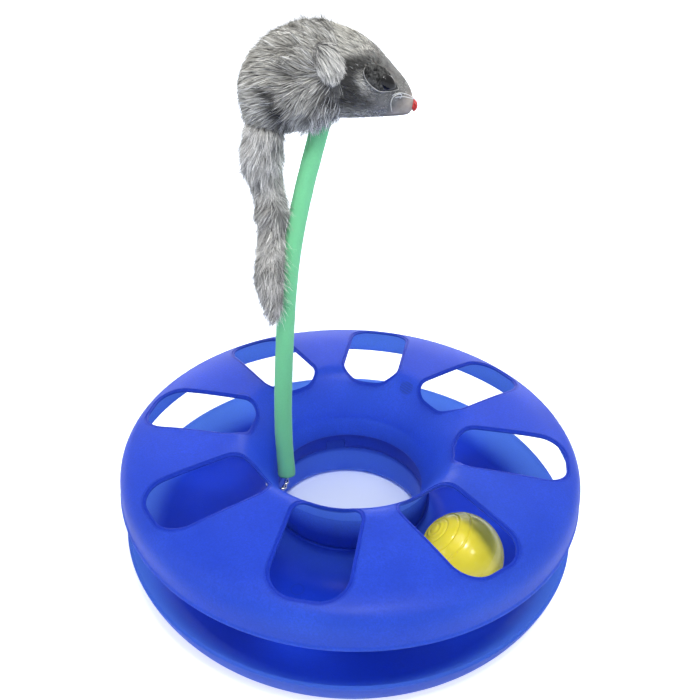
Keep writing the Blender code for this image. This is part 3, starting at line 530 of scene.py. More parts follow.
def lower_half():
    rim_round = 0.45 * MM
    outer = superellipse((UNDERSIDE, LOWER_RIM[1]), (LOWER_RIM[0] - UNDERSIDE, -LOWER_RIM[1]), 1.37)
    inner_reach = (LOWER_RIM[0] - WALL - FLOOR_OUTER, FLOOR - LOWER_RIM[1])
    inner = superellipse((FLOOR_OUTER, LOWER_RIM[1]), inner_reach, 1.5)
    outer = outer[outer[:, 1] < LOWER_RIM[1] - rim_round]
    inner = inner[inner[:, 1] < LOWER_RIM[1] - rim_round]
    top = LOWER_RIM[1] - rim_round
    profile = every(outer, 26)
    foot = (COLLAR_BORE + HUB_FOOT_ROUND, HUB_FOOT_ROUND)
    profile += [(r * MM, 0.0) for r in (100, 85, 70, 55)]
    profile += arc(foot, HUB_FOOT_ROUND, 270, 180, 9)
    profile += [(COLLAR_BORE, z * MM) for z in (8, 11, 14, 17)]
    profile += arc((COLLAR_BORE + 0.25 * MM, LEDGE - 0.25 * MM), 0.25 * MM, 180, 90, 4)
    step = COLLAR_BORE + WALL + 0.3 * MM
    profile += [(step, LEDGE)]
    profile += arc((step + 0.25 * MM, HUB_LIP - 0.25 * MM), 0.25 * MM, 180, 90, 4)
    profile += arc((HUB - 0.3 * MM, HUB_LIP - 0.3 * MM), 0.3 * MM, 90, 0, 4)
    profile += arc((HUB + HUB_FILLET, FLOOR + HUB_FILLET), HUB_FILLET, 180, 270, 18)
    profile += [(r * MM, FLOOR) for r in (66, 75, 84, 93)]
    profile += every(inner[::-1], 26)
    profile += arc((LOWER_RIM[0] - WALL + rim_round, top), rim_round, 180, 90, 5)
    profile += arc((LOWER_RIM[0] - rim_round, top), rim_round, 90, 0, 5)
    profile = np.array(profile + profile[:1])
    return solid_of_nets("track_lower_half", [(turned(profile, full_turn(256)[None]), True)])


lower = lower_half()
tongues = curved_blocks(
    "tongues",
    COLLAR_BORE + 0.15 * MM,
    COLLAR_BORE + WALL - 0.15 * MM,
    LEDGE - 2 * MM,
    LEDGE + 6 * MM,
    TONGUE_WIDTH,
    TONGUE_COUNT,
    TONGUE_AZIMUTH,
)
combine(lower, tongues, "UNION")
# Painted shade on the hub's top above the ledge, and a weaker painted shade in the bore.
x, y, height = read_points(lower.data).T
bore_shade = 0.4 * (np.hypot(x, y) < COLLAR_BORE + 0.6 * MM)
store(lower.data, "edge", np.where(height > LEDGE - 0.3 * MM, 1.0, bore_shade))
# Painted shade: the same plastic as the upper half, with its pale grain colour painted deeper for the shade on the
# lower half.
lower_blue_painted_shade = blue_plastic(
    "frosted_blue_lower_painted_shade",
    (0.010, 0.050, 0.46),
    (0.042, 0.115, 0.74),
    0.66,
    [((-24.9 * MM, -53.5 * MM, 1.8 * MM), 3.6 * MM, False)],
)
lower.data.materials.append(lower_blue_painted_shade)
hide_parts("lower_shell")
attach(lower, "base")

# Ball

# A hollow ball of glossy yellow plastic, loose in the track. Shallow rings are moulded round one pole, which
# has a small raised button, and a fine parting line runs round the middle.
BALL_RADIUS = 21.5 * MM
BALL_PLACE = turned_round(73.9 * MM, FLOOR + 0.3 * MM + BALL_RADIUS, np.array(math.radians(-39.0)))
BALL_POLE = Vector((-0.754, 0.125, 0.760))
BALL_RINGS = (20.0, 36.0, 52.0)


def ball():
    polar = np.linspace(0.0, 180.0, 361)
    depth = sum(0.34 * MM * np.exp(-(((polar - ring) / 1.2) ** 2)) for ring in BALL_RINGS)
    step = sum(0.22 * MM / (1 + np.exp(np.clip((ring + 0.9 - polar) * 2.2, -50, 50))) for ring in BALL_RINGS)
    level = 0.22 * MM * np.clip(polar, 0, 90) / 90.0 * len(BALL_RINGS)
    button = 0.55 * MM / (1 + np.exp(np.clip((polar - 6.5) * 1.6, -50, 50)))
    button += 0.35 * MM * np.exp(-(((polar - 11.5) / 2.0) ** 2))
    seam = 0.06 * MM * np.exp(-(((polar - 96.0) / 0.8) ** 2))
    radius = BALL_RADIUS - 0.45 * MM - depth + (step - level) * (polar < 120) * 0.6 + button + seam
    profile = np.column_stack([radius * np.sin(np.radians(polar)), radius * np.cos(np.radians(polar))])
    profile[[0, -1], 0] = 0.0
    return solid_of_nets("track_ball_dressed", [(turned(profile, full_turn(144)[None]), True)])


yellow_ball = ball()
ball_turn = Vector((0, 0, 1)).rotation_difference(BALL_POLE).to_matrix().to_4x4()
yellow_ball.data.transform(Matrix.Translation(Vector(BALL_PLACE)) @ ball_turn)
yellow, tree, shader = new_material("glossy_yellow")
look = {
    "Base Color": mixed(tree, noise_of(tree, 70.0, 4.0), (0.78, 0.64, 0.020, 1), (0.92, 0.78, 0.040, 1)),
    "Roughness": remapped(tree, noise_of(tree, 160.0, 4.0), 0.14, 0.27),
    "Subsurface Weight": 0.15,
    "Subsurface Radius": (1.0, 0.8, 0.2),
    "Subsurface Scale": 0.003,
}
set_inputs(tree, shader, look)
bumped(tree, shader, [(noise_of(tree, 420.0, 2.0), 0.06, 0.0005)])
yellow_ball.data.materials.append(yellow)
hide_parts("track_ball")
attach(yellow_ball, "ball")

# Wire

# Bright spring-steel wire, folded in two: the fold hooks through the hole in the collar, and the two strands
# are twisted together up the wand and end inside the mouse.
STRAND = 1.15 * MM
SPACING = 1.6 * MM
HOOK_MOUTH = 1.4 * MM
HOOK_REACH = 4.1 * MM
HOOK_BEND = 2.9 * MM
HOOK_RISE = 5.8 * MM
NECK_HANDLE = 3.2 * MM
BARE_TWIST = 6.0 * MM
SLEEVED_TWIST = 32.0 * MM
WIRE_INTO_MOUSE = 17.0 * MM
WAND_LINE = (
    Vector((-34.6, -3.6, 33.9)) * MM,
    Vector((-37.1, 7.2, 62.5)) * MM,
    Vector((-37.0, 19.5, 100.4)) * MM,
    Vector((-34.7, 31.1, 141.3)) * MM,
    Vector((-28.9, 39.8, 176.8)) * MM,
    Vector((-19.6, 47.3, 214.0)) * MM,
)


def curve_through(points, spacing):
    """Points about this far apart on a smooth curve through the given ones."""
    ends = [2 * points[0] - points[1], *points, 2 * points[-1] - points[-2]]
    line = []
    for a, b, c, d in zip(ends, ends[1:], ends[2:], ends[3:]):
        count = max(2, round((c - b).length / spacing))
        for i in range(count):
            t = i / count
            bend = 2 * a - 5 * b + 4 * c - d
            twist = 3 * b - a - 3 * c + d
            line.append(0.5 * (2 * b + t * (c - a) + t * t * bend + t * t * t * twist))
    line.append(points[-1].copy())
    return line


def spokes_along(ways, side, sides):
    """A ring of unit spokes across each of these directions, none twisted against the one before."""
    angle = full_turn(sides)[:, None]
    rings = []
    for way in ways:
        side = side - way * side.dot(way)
        side /= np.linalg.norm(side)
        rings.append(np.cos(angle) * side + np.sin(angle) * np.cross(way, side))
    return rings


def round_bar(name, line, radii, sides):
    """A round bar along the line, with closed ends."""
    line = np.array([tuple(p) for p in line])
    radii = np.broadcast_to(np.asarray(radii, float), (len(line),))
    along = np.gradient(line, axis=0)
    along /= np.linalg.norm(along, axis=1)[:, None]
    side = np.cross(along[0], (0.0, 0.0, 1.0) if abs(along[0][2]) < 0.8 else (1.0, 0.0, 0.0))
    spokes = spokes_along(along, side, sides)
    rings = [place + radius * ring for place, radius, ring in zip(line, radii, spokes)]
    first, last = np.tile(line[0], (sides, 1)), np.tile(line[-1], (sides, 1))
    return solid_of_nets(name, [(np.array([first, *rings, last]), True)])


level = Vector((-outward.y, outward.x, 0))
wall_middle = COLLAR_BORE + 0.5 * WALL
mouth = wall_middle - HOOK_MOUTH - 0.5 * WALL
bend_centre = wall_middle + HOOK_REACH - HOOK_BEND
leg = [(mouth, 0.0), (0.5 * (mouth + bend_centre), 0.0)]
bend = np.radians(np.linspace(0, 90, 9))
leg += [(bend_centre + HOOK_BEND * math.sin(a), HOOK_BEND * (1 - math.cos(a))) for a in bend]
leg.append((bend_centre + HOOK_BEND, HOOK_RISE))
hook_line = [outward * r - level * (0.5 * SPACING) + Vector((0, 0, WIRE_HEIGHT + z)) for r, z in leg]
for a in np.radians(np.linspace(15, 165, 11)):
    sideways = -0.5 * SPACING * math.cos(a)
    top_of_hook = outward * leg[-1][0] + Vector((0, 0, WIRE_HEIGHT + leg[-1][1] + 0.5 * SPACING * math.sin(a)))
    hook_line.append(top_of_hook + level * sideways)
aside = level * (0.5 * SPACING)
hook_line += [outward * r + aside + Vector((0, 0, WIRE_HEIGHT + z)) for r, z in reversed(leg)]
hook = round_bar("wire_hook_dressed", hook_line, 0.5 * STRAND, 16)

steel, tree, shader = new_material("bright_steel_wire")
drawn = noise_of(tree, 900.0, 3.0, stretch=(1.0, 1.0, 0.08))
streaks = ramp_of(tree, drawn, [(0.3, (0.52, 0.53, 0.55)), (0.7, (0.83, 0.84, 0.85))])
look = {"Base Color": streaks, "Metallic": 1.0, "Roughness": remapped(tree, drawn, 0.16, 0.34)}
set_inputs(tree, shader, look)
bumped(tree, shader, [(drawn, 0.12, 0.0002)])
hook.data.materials.append(steel)
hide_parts("wire_hook")
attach(hook, "hook")

neck_start = outward * (mouth - 0.3 * MM) + Vector((0, 0, WIRE_HEIGHT))
wand_up = (WAND_LINE[1] - WAND_LINE[0]).normalized()
wand_end_way = (WAND_LINE[-1] - WAND_LINE[-2]).normalized()
neck_handles = (neck_start - outward * NECK_HANDLE, WAND_LINE[0] - wand_up * NECK_HANDLE)
neck_points = (neck_start, *neck_handles, WAND_LINE[0])
neck = []
for i in range(33):
    t = i / 32
    weights = ((1 - t) ** 3, 3 * (1 - t) ** 2 * t, 3 * (1 - t) * t * t, t ** 3)
    neck.append(sum((w * p for w, p in zip(weights, neck_points)), Vector()))
inside = curve_through(list(WAND_LINE), 2.2 * MM)[1:]
inside += [WAND_LINE[-1] + wand_end_way * (WIRE_INTO_MOUSE * (i + 1) / 8) for i in range(8)]
wire_middle = neck + inside
for word, way in (("a", -1), ("b", 1)):
    strand_line = []
    phase, across = 0.0, level
    for i, place in enumerate(wire_middle):
        along = (wire_middle[min(i + 1, len(wire_middle) - 1)] - wire_middle[max(i - 1, 0)]).normalized()
        across = (across - along * across.dot(along)).normalized()
        if i:
            pitch = BARE_TWIST if i < len(neck) else SLEEVED_TWIST
            phase += 2 * math.pi * (place - wire_middle[i - 1]).length / pitch
        strand_line.append(place + Matrix.Rotation(phase, 3, along) @ across * (way * 0.5 * SPACING))
    strand = round_bar(f"wire_strand_{word}_dressed", strand_line, 0.5 * STRAND, 14)
    strand.data.materials.append(steel)
    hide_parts("wire_strand_" + word)
    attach(strand, "wand")

# Foam sleeve

# A tube of mint-green closed-cell foam, pushed over the twisted wire and up into the mouse. Its cut lower end
# is rounded, and its skin is matt with fine cells. The dents of its skin swell it in places, so it starts
# this much under its full size.
DENT = 0.10 * MM
SLEEVE_SWELL = 0.12 * MM
SLEEVE_RADIUS = 4.85 * MM - SLEEVE_SWELL
SLEEVE_BORE = 1.7 * MM
SLEEVE_INTO_MOUSE = 4.5 * MM
SLEEVE_END_ROUND = 1.5 * MM
sleeve_middle = curve_through(list(WAND_LINE), 1.5 * MM)
sleeve_middle += [sleeve_middle[-1] + wand_end_way * (SLEEVE_INTO_MOUSE * (i + 1) / 3) for i in range(3)]
sleeve_line = [sleeve_middle[0]] * 3
sleeve_line += [sleeve_middle[0] + wand_up * (SLEEVE_END_ROUND * s) for s in (0.0, 0.05, 0.18, 0.4, 0.7)]
sleeve_radii = [SLEEVE_BORE, SLEEVE_BORE + 0.5 * MM, 2.9 * MM]
sleeve_radii += [SLEEVE_RADIUS - SLEEVE_END_ROUND * s for s in (1.0, 0.62, 0.34, 0.14, 0.04)]
sleeve_line += sleeve_middle[1:]
sleeve_radii += [SLEEVE_RADIUS] * (len(sleeve_middle) - 1)


def foam_sleeve():
    line = np.array([tuple(p) for p in sleeve_line])
    way = np.array([tuple(wand_up)] * 8 + [tuple(p) for p in np.gradient(line[8:], axis=0)])
    way /= np.linalg.norm(way, axis=1)[:, None]
    spokes = spokes_along(way, np.array((1.0, 0.0, 0.0)), 48)
    rings = [place + radius * ring for place, radius, ring in zip(line, sleeve_radii, spokes)]
    dented = []
    for points, ways in zip(rings, spokes):
        fine = np.array([noise.noise(Vector(point) * 260.0) for point in points])
        broad = np.array([noise.noise(Vector(point) * 70.0) for point in points])
        dented.append(points + ways * (DENT * fine + DENT * broad)[:, None])
    bore = [place + SLEEVE_BORE * ring for place, ring in zip(line[:2:-1], spokes[:2:-1])]
    net = np.array([*dented, dented[-1] * 0.5 + bore[0] * 0.5, *bore, rings[0]])
    return solid_of_nets("foam_sleeve_dressed", [(net, True)])


sleeve = foam_sleeve()
green, tree, shader = new_material("mint_foam")
cells = node(tree, "ShaderNodeTexVoronoi", {"Vector": own_place(tree), "Scale": 1500.0}).outputs["Distance"]
tint = mixed(tree, noise_of(tree, 60.0, 4.0), (0.21, 0.70, 0.34, 1), (0.27, 0.80, 0.42, 1))
tint = mixed(tree, remapped(tree, cells, 0.0, 0.35), tint, (0.17, 0.60, 0.29, 1))


def fading_up(tree, bottom, top, strength):
    """This strength up to the bottom height, falling to 0 at the top one."""
    height = node(tree, "ShaderNodeSeparateXYZ", {"Vector": own_place(tree)}).outputs["Z"]
    inputs = {"Value": height, "From Min": bottom, "From Max": top, "To Min": strength, "To Max": 0.0}
    return node(tree, "ShaderNodeMapRange", inputs).outputs["Result"]


# Painted shade: the foam is painted deeper green towards its lower end, where it stands in the shade of the funnel.
look = {
    "Base Color": mixed(tree, fading_up(tree, 30 * MM, 150 * MM, 0.75), tint, (0.10, 0.40, 0.21, 1)),
    "Roughness": 0.88,
    "Specular IOR Level": 0.25,
    "Sheen Weight": 0.15,
    "Subsurface Weight": 0.2,
    "Subsurface Radius": (0.4, 1.0, 0.6),
    "Subsurface Scale": 0.002,
}
set_inputs(tree, shader, look)
bumped(tree, shader, [(cells, 0.25, 0.0003), (noise_of(tree, 380.0, 3.0), 0.15, 0.0006)])
sleeve.data.materials.append(green)
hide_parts("foam_sleeve")
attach(sleeve, "wand")

# Mouse body

# A hard form under a skin of real-looking grey fur, glued on. The hairs are dark at the root and pale at the
# tip, lie back from the neck, and gather in small locks.
MOUSE_YAW = 10.0
mouse_frame = Matrix.Translation(WAND_LINE[-1]) @ Matrix.Rotation(math.radians(MOUSE_YAW), 4, "Z")
mouse_turn = np.array(mouse_frame.to_3x3())
mouse_place = np.array(mouse_frame.translation)
BODY_SECTIONS = (
    (-35.6, 25.2, -1.0, 8.4),
    (-30.8, 31.2, -5.0, 12.8),
    (-23.6, 37.2, -5.6, 16.2),
    (-13.0, 41.8, -3.8, 18.2),
    (-2.0, 43.6, -1.6, 18.4),
    (6.0, 42.2, 0.4, 16.2),
    (12.0, 36.5, 6.0, 11.5),
)


def rounded_form(name, sections):
    """A soft closed form through upright sections of (along, top, bottom, half width), in millimetres."""
    sides = 10
    settle = (2 + math.cos(2 * math.pi / sides)) / 3
    rings = []
    for along, top, bottom, half in sections:
        middle, tall = 0.5 * (top + bottom), 0.5 * (top - bottom)
        wide, tall = half / settle, tall / settle
        ring = [(along, wide * math.cos(a), middle + tall * math.sin(a)) for a in full_turn(sides)]
        rings.append(ring)
    for place, (along, top, bottom, _), way in ((0, sections[0], -1), (len(rings) + 1, sections[-1], 1)):
        tip = (along + way * 0.12 * (top - bottom), 0.0, 0.5 * (top + bottom))
        rings.insert(place, [tip] * sides)
    points = np.array(rings) * MM @ mouse_turn.T + mouse_place
    form = solid_of_nets(name, [(points, True)])
    smoothing = form.modifiers.new("round", "SUBSURF")
    smoothing.levels = smoothing.render_levels = 3
    mesh = evaluated_mesh(form)
    form.modifiers.clear()
    form.data = mesh
    mesh.shade_smooth()
    return form


def roots_on(obj, count, seed):
    """Points spread evenly at random over a mesh, and the way that the surface faces at each."""
    mesh = obj.data
    mesh.calc_loop_triangles()
    points, normals = read_points(mesh), read_points(mesh, "normal")
    corners = np.array([triangle.vertices[:] for triangle in mesh.loop_triangles])
    a, b, c = points[corners[:, 0]], points[corners[:, 1]], points[corners[:, 2]]
    area = np.linalg.norm(np.cross(b - a, c - a), axis=1)
    draws = np.random.default_rng(seed)
    face = draws.choice(len(corners), size=count, p=area / area.sum())
    u, v = draws.random(count), draws.random(count)
    over = u + v > 1
    u[over], v[over] = 1 - u[over], 1 - v[over]
    share = np.column_stack([1 - u - v, u, v])
    place = (points[corners[face]] * share[:, :, None]).sum(axis=1)
    facing = (normals[corners[face]] * share[:, :, None]).sum(axis=1)
    return place, facing / np.linalg.norm(facing, axis=1)[:, None]


def outside_of(points, others, margin):
    """Which points lie outside the other forms, or less than the margin inside them."""
    keep = np.ones(len(points), bool)
    for other in others:
        tree = BVHTree.FromObject(other, bpy.context.evaluated_depsgraph_get())
        for i, point in enumerate(points):
            if keep[i]:
                near, facing, _, _ = tree.find_nearest(Vector(point))
                keep[i] = (Vector(point) - near).dot(facing) > -margin
    return keep


# The noise takes its places from the clock unless it is given a seed.
noise.seed_set(4)


def wander(points, scale, offset):
    """Smooth noise at each point, as three values from about -0.5 to 0.5."""
    return np.array([tuple(noise.noise_vector(Vector(p) * scale + Vector((offset, 0, 0)))) for p in points])


def unit(vectors):
    return vectors / np.maximum(np.linalg.norm(vectors, axis=1), 1e-12)[:, None]


def fur_locks(
    name, roots, facing, comb, length, lift, width, seed, clump=0.5, droop=0.0, curl=0.25, sink=0.6 * MM
):
    """Tapered locks of fur in one mesh. Each leaves its root along the comb's way, lifted from the skin, and curves
    back to it. Neighbours lean together at their tips."""
    draws = np.random.default_rng(seed)
    count, steps = len(roots), 3
    length = length * (0.65 + 0.6 * draws.random(count))
    lift = np.radians(lift * (0.4 + 1.2 * draws.random(count)))
    flat = unit(comb - facing * (comb * facing).sum(axis=1)[:, None])
    place = roots - facing * sink
    line = [place]
    for k in range(steps):
        part = (k + 0.5) / steps
        rise = np.sin(lift) * (1 - curl * part * 2)
        way = flat * np.cos(lift)[:, None] + facing * rise[:, None]
        way[:, 2] -= droop * part
        place = place + unit(way) * (length / steps)[:, None]
        line.append(place)
    line = np.array(line)
    leaders = draws.choice(count, size=max(8, count // 6), replace=False)
    near = KDTree(len(leaders))
    for k, i in enumerate(leaders):
        near.insert(Vector(roots[i]), k)
    near.balance()
    follows = np.array([leaders[near.find(Vector(root))[1]] for root in roots])
    for k in range(1, steps + 1):
        share = clump * (k / steps) ** 1.4
        line[k] = line[k] * (1 - share) + line[k][follows] * share
    way = unit((line[-1] - line[0]))
    side = unit(np.cross(way, facing))
    roll = (draws.random(count) - 0.5)[:, None] * 1.3
    side = unit(side * np.cos(roll) + np.cross(way, side) * np.sin(roll))
    widths = width * (0.7 + 0.6 * draws.random(count))
    points, along = [], []
    for k in range(steps + 1):
        share = k / steps
        half = 0.5 * widths * (1 - 0.9 * share ** 1.6)
        points += [line[k] - side * half[:, None], line[k] + side * half[:, None]]
        along += [np.full(count, share)] * 2
    points = np.stack(points, axis=1)
    start = (np.arange(count) * 2 * (steps + 1))[:, None]
    faces = np.concatenate([start + np.array([2 * k, 2 * k + 1, 2 * k + 3, 2 * k + 2]) for k in range(steps)])
    mesh = bpy.data.meshes.new(name)
    mesh.from_pydata(points.reshape(-1, 3).tolist(), [], faces.tolist())
    mesh.shade_smooth()
    lock_tone = 0.45 * draws.random(count) + 0.55 * draws.random(count)[follows]
    store(mesh, "along", np.stack(along, axis=1).reshape(-1))
    store(mesh, "tone", np.repeat(lock_tone, len(along)))
    return in_scene(name, mesh)


def shade_attribute(obj, values):
    """Stores one value for each lock: 0 where the coat is pale, 1 where it is dark."""
    store(obj.data, "dark", np.repeat(values, len(obj.data.vertices) // len(values)))


def fur_material(name, root, middle, tip, dark):
    """Fur coloured along each hair, with a tone for each lock and dark patches."""
    made, tree, shader = new_material(name)
    along, tone, patch = (stored(tree, word) for word in ("along", "tone", "dark"))
    colour = ramp_of(tree, along, [(0.0, root), (0.45, middle), (1.0, tip)])
    light = remapped(tree, tone, 0.3, 1.7)
    colour = node(tree, "ShaderNodeHueSaturation", {"Color": colour, "Value": light}).outputs["Color"]
    colour = mixed(tree, patch, colour, (*dark, 1))
    look = {"Base Color": colour, "Roughness": 0.62, "Specular IOR Level": 0.3, "Sheen Weight": 0.2}
    set_inputs(tree, shader, look)
    return made


def dark_patches_and_shade(local, patches):
    """How dark the coat is in the mouse's own frame, from (strength, centre, reach) patches on both sides; some
    patches are painted shade.
    """
    shade = np.zeros(len(local))
    for side in (-1, 1):
        for strength, (x, y, z), reach in patches:
            away = np.linalg.norm((local - np.array((x, side * y, z))) / np.array(reach), axis=1)
            shade += strength * np.clip(1.25 - away, 0, 1) ** 1.2
    return shade


body_form = rounded_form("mouse_body_skin", BODY_SECTIONS)
HEAD_SECTIONS = (
    (1.0, 40.4, 5.0, 12.0),
    (9.5, 41.4, 1.0, 15.6),
    (18.0, 38.2, 1.0, 14.8),
    (26.5, 32.4, 1.0, 12.2),
    (34.0, 24.2, 1.2, 9.2),
    (40.0, 18.2, 1.5, 6.4),
    (43.2, 13.0, 2.3, 4.2),
)
head_form = rounded_form("mouse_head_skin", HEAD_SECTIONS)


def in_mouse(points):
    """Places in the mouse's own frame, in millimetres: X to the nose, Y to its left, Z up."""
    return (points - mouse_place) @ mouse_turn / MM


def body_comb(local):
    """The way that the coat lies: back from the neck, fanning up over the rump and down the flank."""
    way = unit(local * np.array([1.0, 0.0, 1.6]) - np.array([4.0, 0.0, 35.0])) + np.array([-0.6, 0.0, 0.0])
    way[:, 2] -= 0.5 * np.clip((12 - local[:, 2]) / 12, 0, 1.5)
    return way + 0.8 * wander(local, 0.05, 3.0) + 1.1 * wander(local, 0.16, 9.0)


roots, facing = roots_on(body_form, 34000, 11)
sleeve_way = np.array(wand_end_way)
from_sleeve = roots - mouse_place
aside = np.linalg.norm(from_sleeve - sleeve_way * (from_sleeve @ sleeve_way)[:, None], axis=1)
keep = outside_of(roots, [head_form], 1.0 * MM) & ((aside > 5.2 * MM) | (in_mouse(roots)[:, 2] > 14))
roots, facing = roots[keep], facing[keep]
local = in_mouse(roots)
# The last two patches, under the ear, are painted shade; the first three darken the fur of the flank.
BODY_PATCHES_AND_SHADE = (
    (0.75, (-23, 15, 15), (4.5, 16, 6.0)),
    (0.90, (-19, 15, 7), (4.5, 16, 7.0)),
    (0.90, (-17, 12, -1), (4.5, 14, 6.0)),
    (1.00, (3, 15, 15.5), (8, 14, 5.0)),
    (0.60, (8, 14, 11), (7, 14, 5.0)),
)
shade = 1.1 * np.clip(wander(local, 0.12, 21.0)[:, 0] - 0.03, 0, 1) + dark_patches_and_shade(local, BODY_PATCHES_AND_SHADE)
near_neck = np.clip((local[:, 0] + 3) / 13, 0, 1)
body_fur = fur_locks(
    "mouse_body_fur",
    roots,
    facing,
    body_comb(local) @ mouse_turn.T,
    (6.8 - 2.4 * near_neck) * MM,
    18.0 - 13.0 * near_neck,
    0.32 * MM,
    12,
    clump=0.4,
    droop=0.04,
)
shade_attribute(body_fur, np.clip(shade, 0, 0.95))
grey_fur = fur_material(
    "grey_fur", (0.09, 0.089, 0.081), (0.32, 0.312, 0.285), (0.68, 0.665, 0.615), (0.028, 0.028, 0.028)
)
body_fur.data.materials.append(grey_fur)
guard_coat = fur_material(
    "guard_hairs", (0.20, 0.20, 0.19), (0.62, 0.62, 0.60), (0.92, 0.92, 0.90), (0.04, 0.04, 0.04)
)


def guard_hairs(name, roots, facing, comb, length, lift, seed, black=0.2, **bend):
    """Sparse long hairs that stand out of the coat, most of them pale and some dark."""
    hairs = fur_locks(name, roots, facing, comb, length, lift, 0.26 * MM, seed, clump=0.15, **bend)
    shade_attribute(hairs, (np.random.default_rng(seed + 1).random(len(roots)) < black) * 0.9)
    hairs.data.materials.append(guard_coat)
    return hairs


near_sleeve = (np.abs(local[:, 0]) < 9) & (np.abs(local[:, 2] - 2.5) < 5)
on_crest = (local[:, 0] > -8) & (local[:, 2] > 24)
guard_share = np.where(near_sleeve, 0.4, np.where(on_crest, 0.2, 0.075))
chosen = np.random.default_rng(15).random(len(roots)) < guard_share
comb = body_comb(local)
comb[near_sleeve] = np.array([0.15, 0.0, -1.6]) + 1.2 * wander(local[near_sleeve], 0.3, 2.0)
body_guard = guard_hairs(
    "mouse_body_guard_hairs",
    roots[chosen],
    facing[chosen],
    comb[chosen] @ mouse_turn.T,
    (7.6 + 2.6 * near_sleeve[chosen] - 2.0 * near_neck[chosen]) * MM,
    27.0 - 12.0 * near_neck[chosen],
    16,
    droop=0.08,
)
chosen = (local[:, 2] > 36) & (local[:, 0] > -24) & (np.random.default_rng(17).random(len(roots)) < 0.045)
body_strays = guard_hairs(
    "mouse_body_stray_hairs",
    roots[chosen],
    facing[chosen],
    (body_comb(local[chosen]) + 1.5 * wander(local[chosen], 0.9, 6.0)) @ mouse_turn.T,
    6.8 * MM,
    42.0,
    18,
    black=0.75,
)
under_fur, tree, shader = new_material("undercoat")
mottled = ramp_of(tree, noise_of(tree, 420.0, 4.0, 0.6), [(0.35, (0.06,) * 3), (0.7, (0.22, 0.215, 0.205))])
set_inputs(tree, shader, {"Base Color": mottled, "Roughness": 0.95})
bumped(tree, shader, [(noise_of(tree, 900.0, 3.0), 0.6, 0.001)])
body_form.data.materials.append(under_fur)
for piece in (body_form, body_fur, body_guard, body_strays):
    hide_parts("mouse_body")
    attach(piece, "wand")

# Mouse head

# The same hard form, tapered, with short fur clipped close. The fur thins out to bare pinkish skin on the
# muzzle.
roots, facing = roots_on(head_form, 34000, 21)
local = in_mouse(roots)
muzzle = np.clip((local[:, 0] - 30) / 4.0, 0, 1) * np.clip((11.5 - local[:, 2]) / 3.0, 0, 1)
bare = np.maximum(muzzle, np.clip((local[:, 0] - 40) / 4.0, 0, 1))
draws = np.random.default_rng(22)
keep = outside_of(roots, [body_form], 0.8 * MM) & (draws.random(len(roots)) > 0.88 * bare)
roots, facing, local, bare = roots[keep], facing[keep], local[keep], bare[keep]
comb = np.array([-1.0, 0.0, 0.55]) + 0.45 * wander(local, 0.09, 5.0) + 0.4 * wander(local, 0.3, 7.0)
at_neck = np.clip((14 - local[:, 0]) / 8, 0, 1)
toward_neck = np.clip((30 - local[:, 0]) / 22, 0, 1) ** 1.4
head_length = (1.8 + 3.7 * toward_neck + 2.0 * at_neck) * (1 - 0.5 * bare) * MM
# The fourth and fifth patches, behind and under the ear, are painted shade; the others darken the fur above the eye,
# on the cheek and on the snout.
HEAD_PATCHES_AND_SHADE = (
    (0.95, (14, 14, 26.0), (9, 12, 4.2)),
    (0.95, (23, 11, 27.8), (8, 10, 4.2)),
    (0.80, (31, 8, 23.5), (8, 8, 5.0)),
    (0.95, (11, 15, 21), (6, 14, 8)),
    (1.20, (10, 15, 14.5), (7, 14, 5)),
    (0.70, (14, 14, 12), (8, 12, 7)),
    (0.50, (19, 13, 9), (12, 12, 7)),
    (0.40, (27, 11, 11), (8, 10, 6)),
    (0.70, (35, 7, 18.5), (8, 8, 4.5)),
)
shade = dark_patches_and_shade(local, HEAD_PATCHES_AND_SHADE) + 0.35 * np.clip(wander(local, 0.14, 27.0)[:, 0], 0, 1)
head_fur = fur_locks(
    "mouse_head_fur",
    roots,
    facing,
    comb @ mouse_turn.T,
    head_length,
    13 + 11 * at_neck,
    0.29 * MM,
    23,
    clump=0.25,
    sink=0.3 * MM,
)
shade_attribute(head_fur, np.clip(shade, 0, 0.93))
short_fur = fur_material(
    "short_grey_fur", (0.20, 0.197, 0.180), (0.56, 0.548, 0.500), (0.88, 0.865, 0.800), (0.026, 0.025, 0.023)
)
head_fur.data.materials.append(short_fur)
chosen = (local[:, 0] < 22) & (draws.random(len(roots)) < 0.02)
head_guard = guard_hairs(
    "mouse_head_guard_hairs", roots[chosen], facing[chosen], comb[chosen] @ mouse_turn.T, 4.2 * MM, 14.0, 24
)
hide, tree, shader = new_material("muzzle_skin")
skin_noise = noise_of(tree, 260.0, 4.0, 0.6)
skin_colour = ramp_of(tree, skin_noise, [(0.3, (0.34, 0.295, 0.250)), (0.7, (0.48, 0.43, 0.375))])
fur_bed = ramp_of(tree, skin_noise, [(0.3, (0.10, 0.10, 0.098)), (0.7, (0.24, 0.235, 0.225))])
muzzle_mask = disc_mask(tree, mouse_frame @ (Vector((39.5, 0.0, 3.5)) * MM), 8.0 * MM, 4.5 * MM)
skin_colour = mixed(tree, muzzle_mask, fur_bed, skin_colour)
mouth_height = mouse_place[2] + 2.6 * MM
below_mouth = fading_up(tree, mouth_height, mouth_height + 1.2 * MM, 0.8)
skin_colour = mixed(tree, below_mouth, skin_colour, (0.07, 0.06, 0.06, 1))
look = {"Base Color": skin_colour, "Roughness": 0.7, "Subsurface Weight": 0.1, "Subsurface Scale": 0.001}
set_inputs(tree, shader, look)
bumped(tree, shader, [(noise_of(tree, 1300.0, 3.0), 0.3, 0.0005)])
head_form.data.materials.append(hide)
for piece in (head_form, head_fur, head_guard):
    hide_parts("mouse_head")
    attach(piece, "wand")

# Ears

# Leaves of long pale fur, laid back along the neck on either side, their tips hanging free below.
EAR_PLACE = (0.4, 28.4)
EAR_SIZE = (9.6, 6.2, 2.6)
EAR_TILT = -62.0


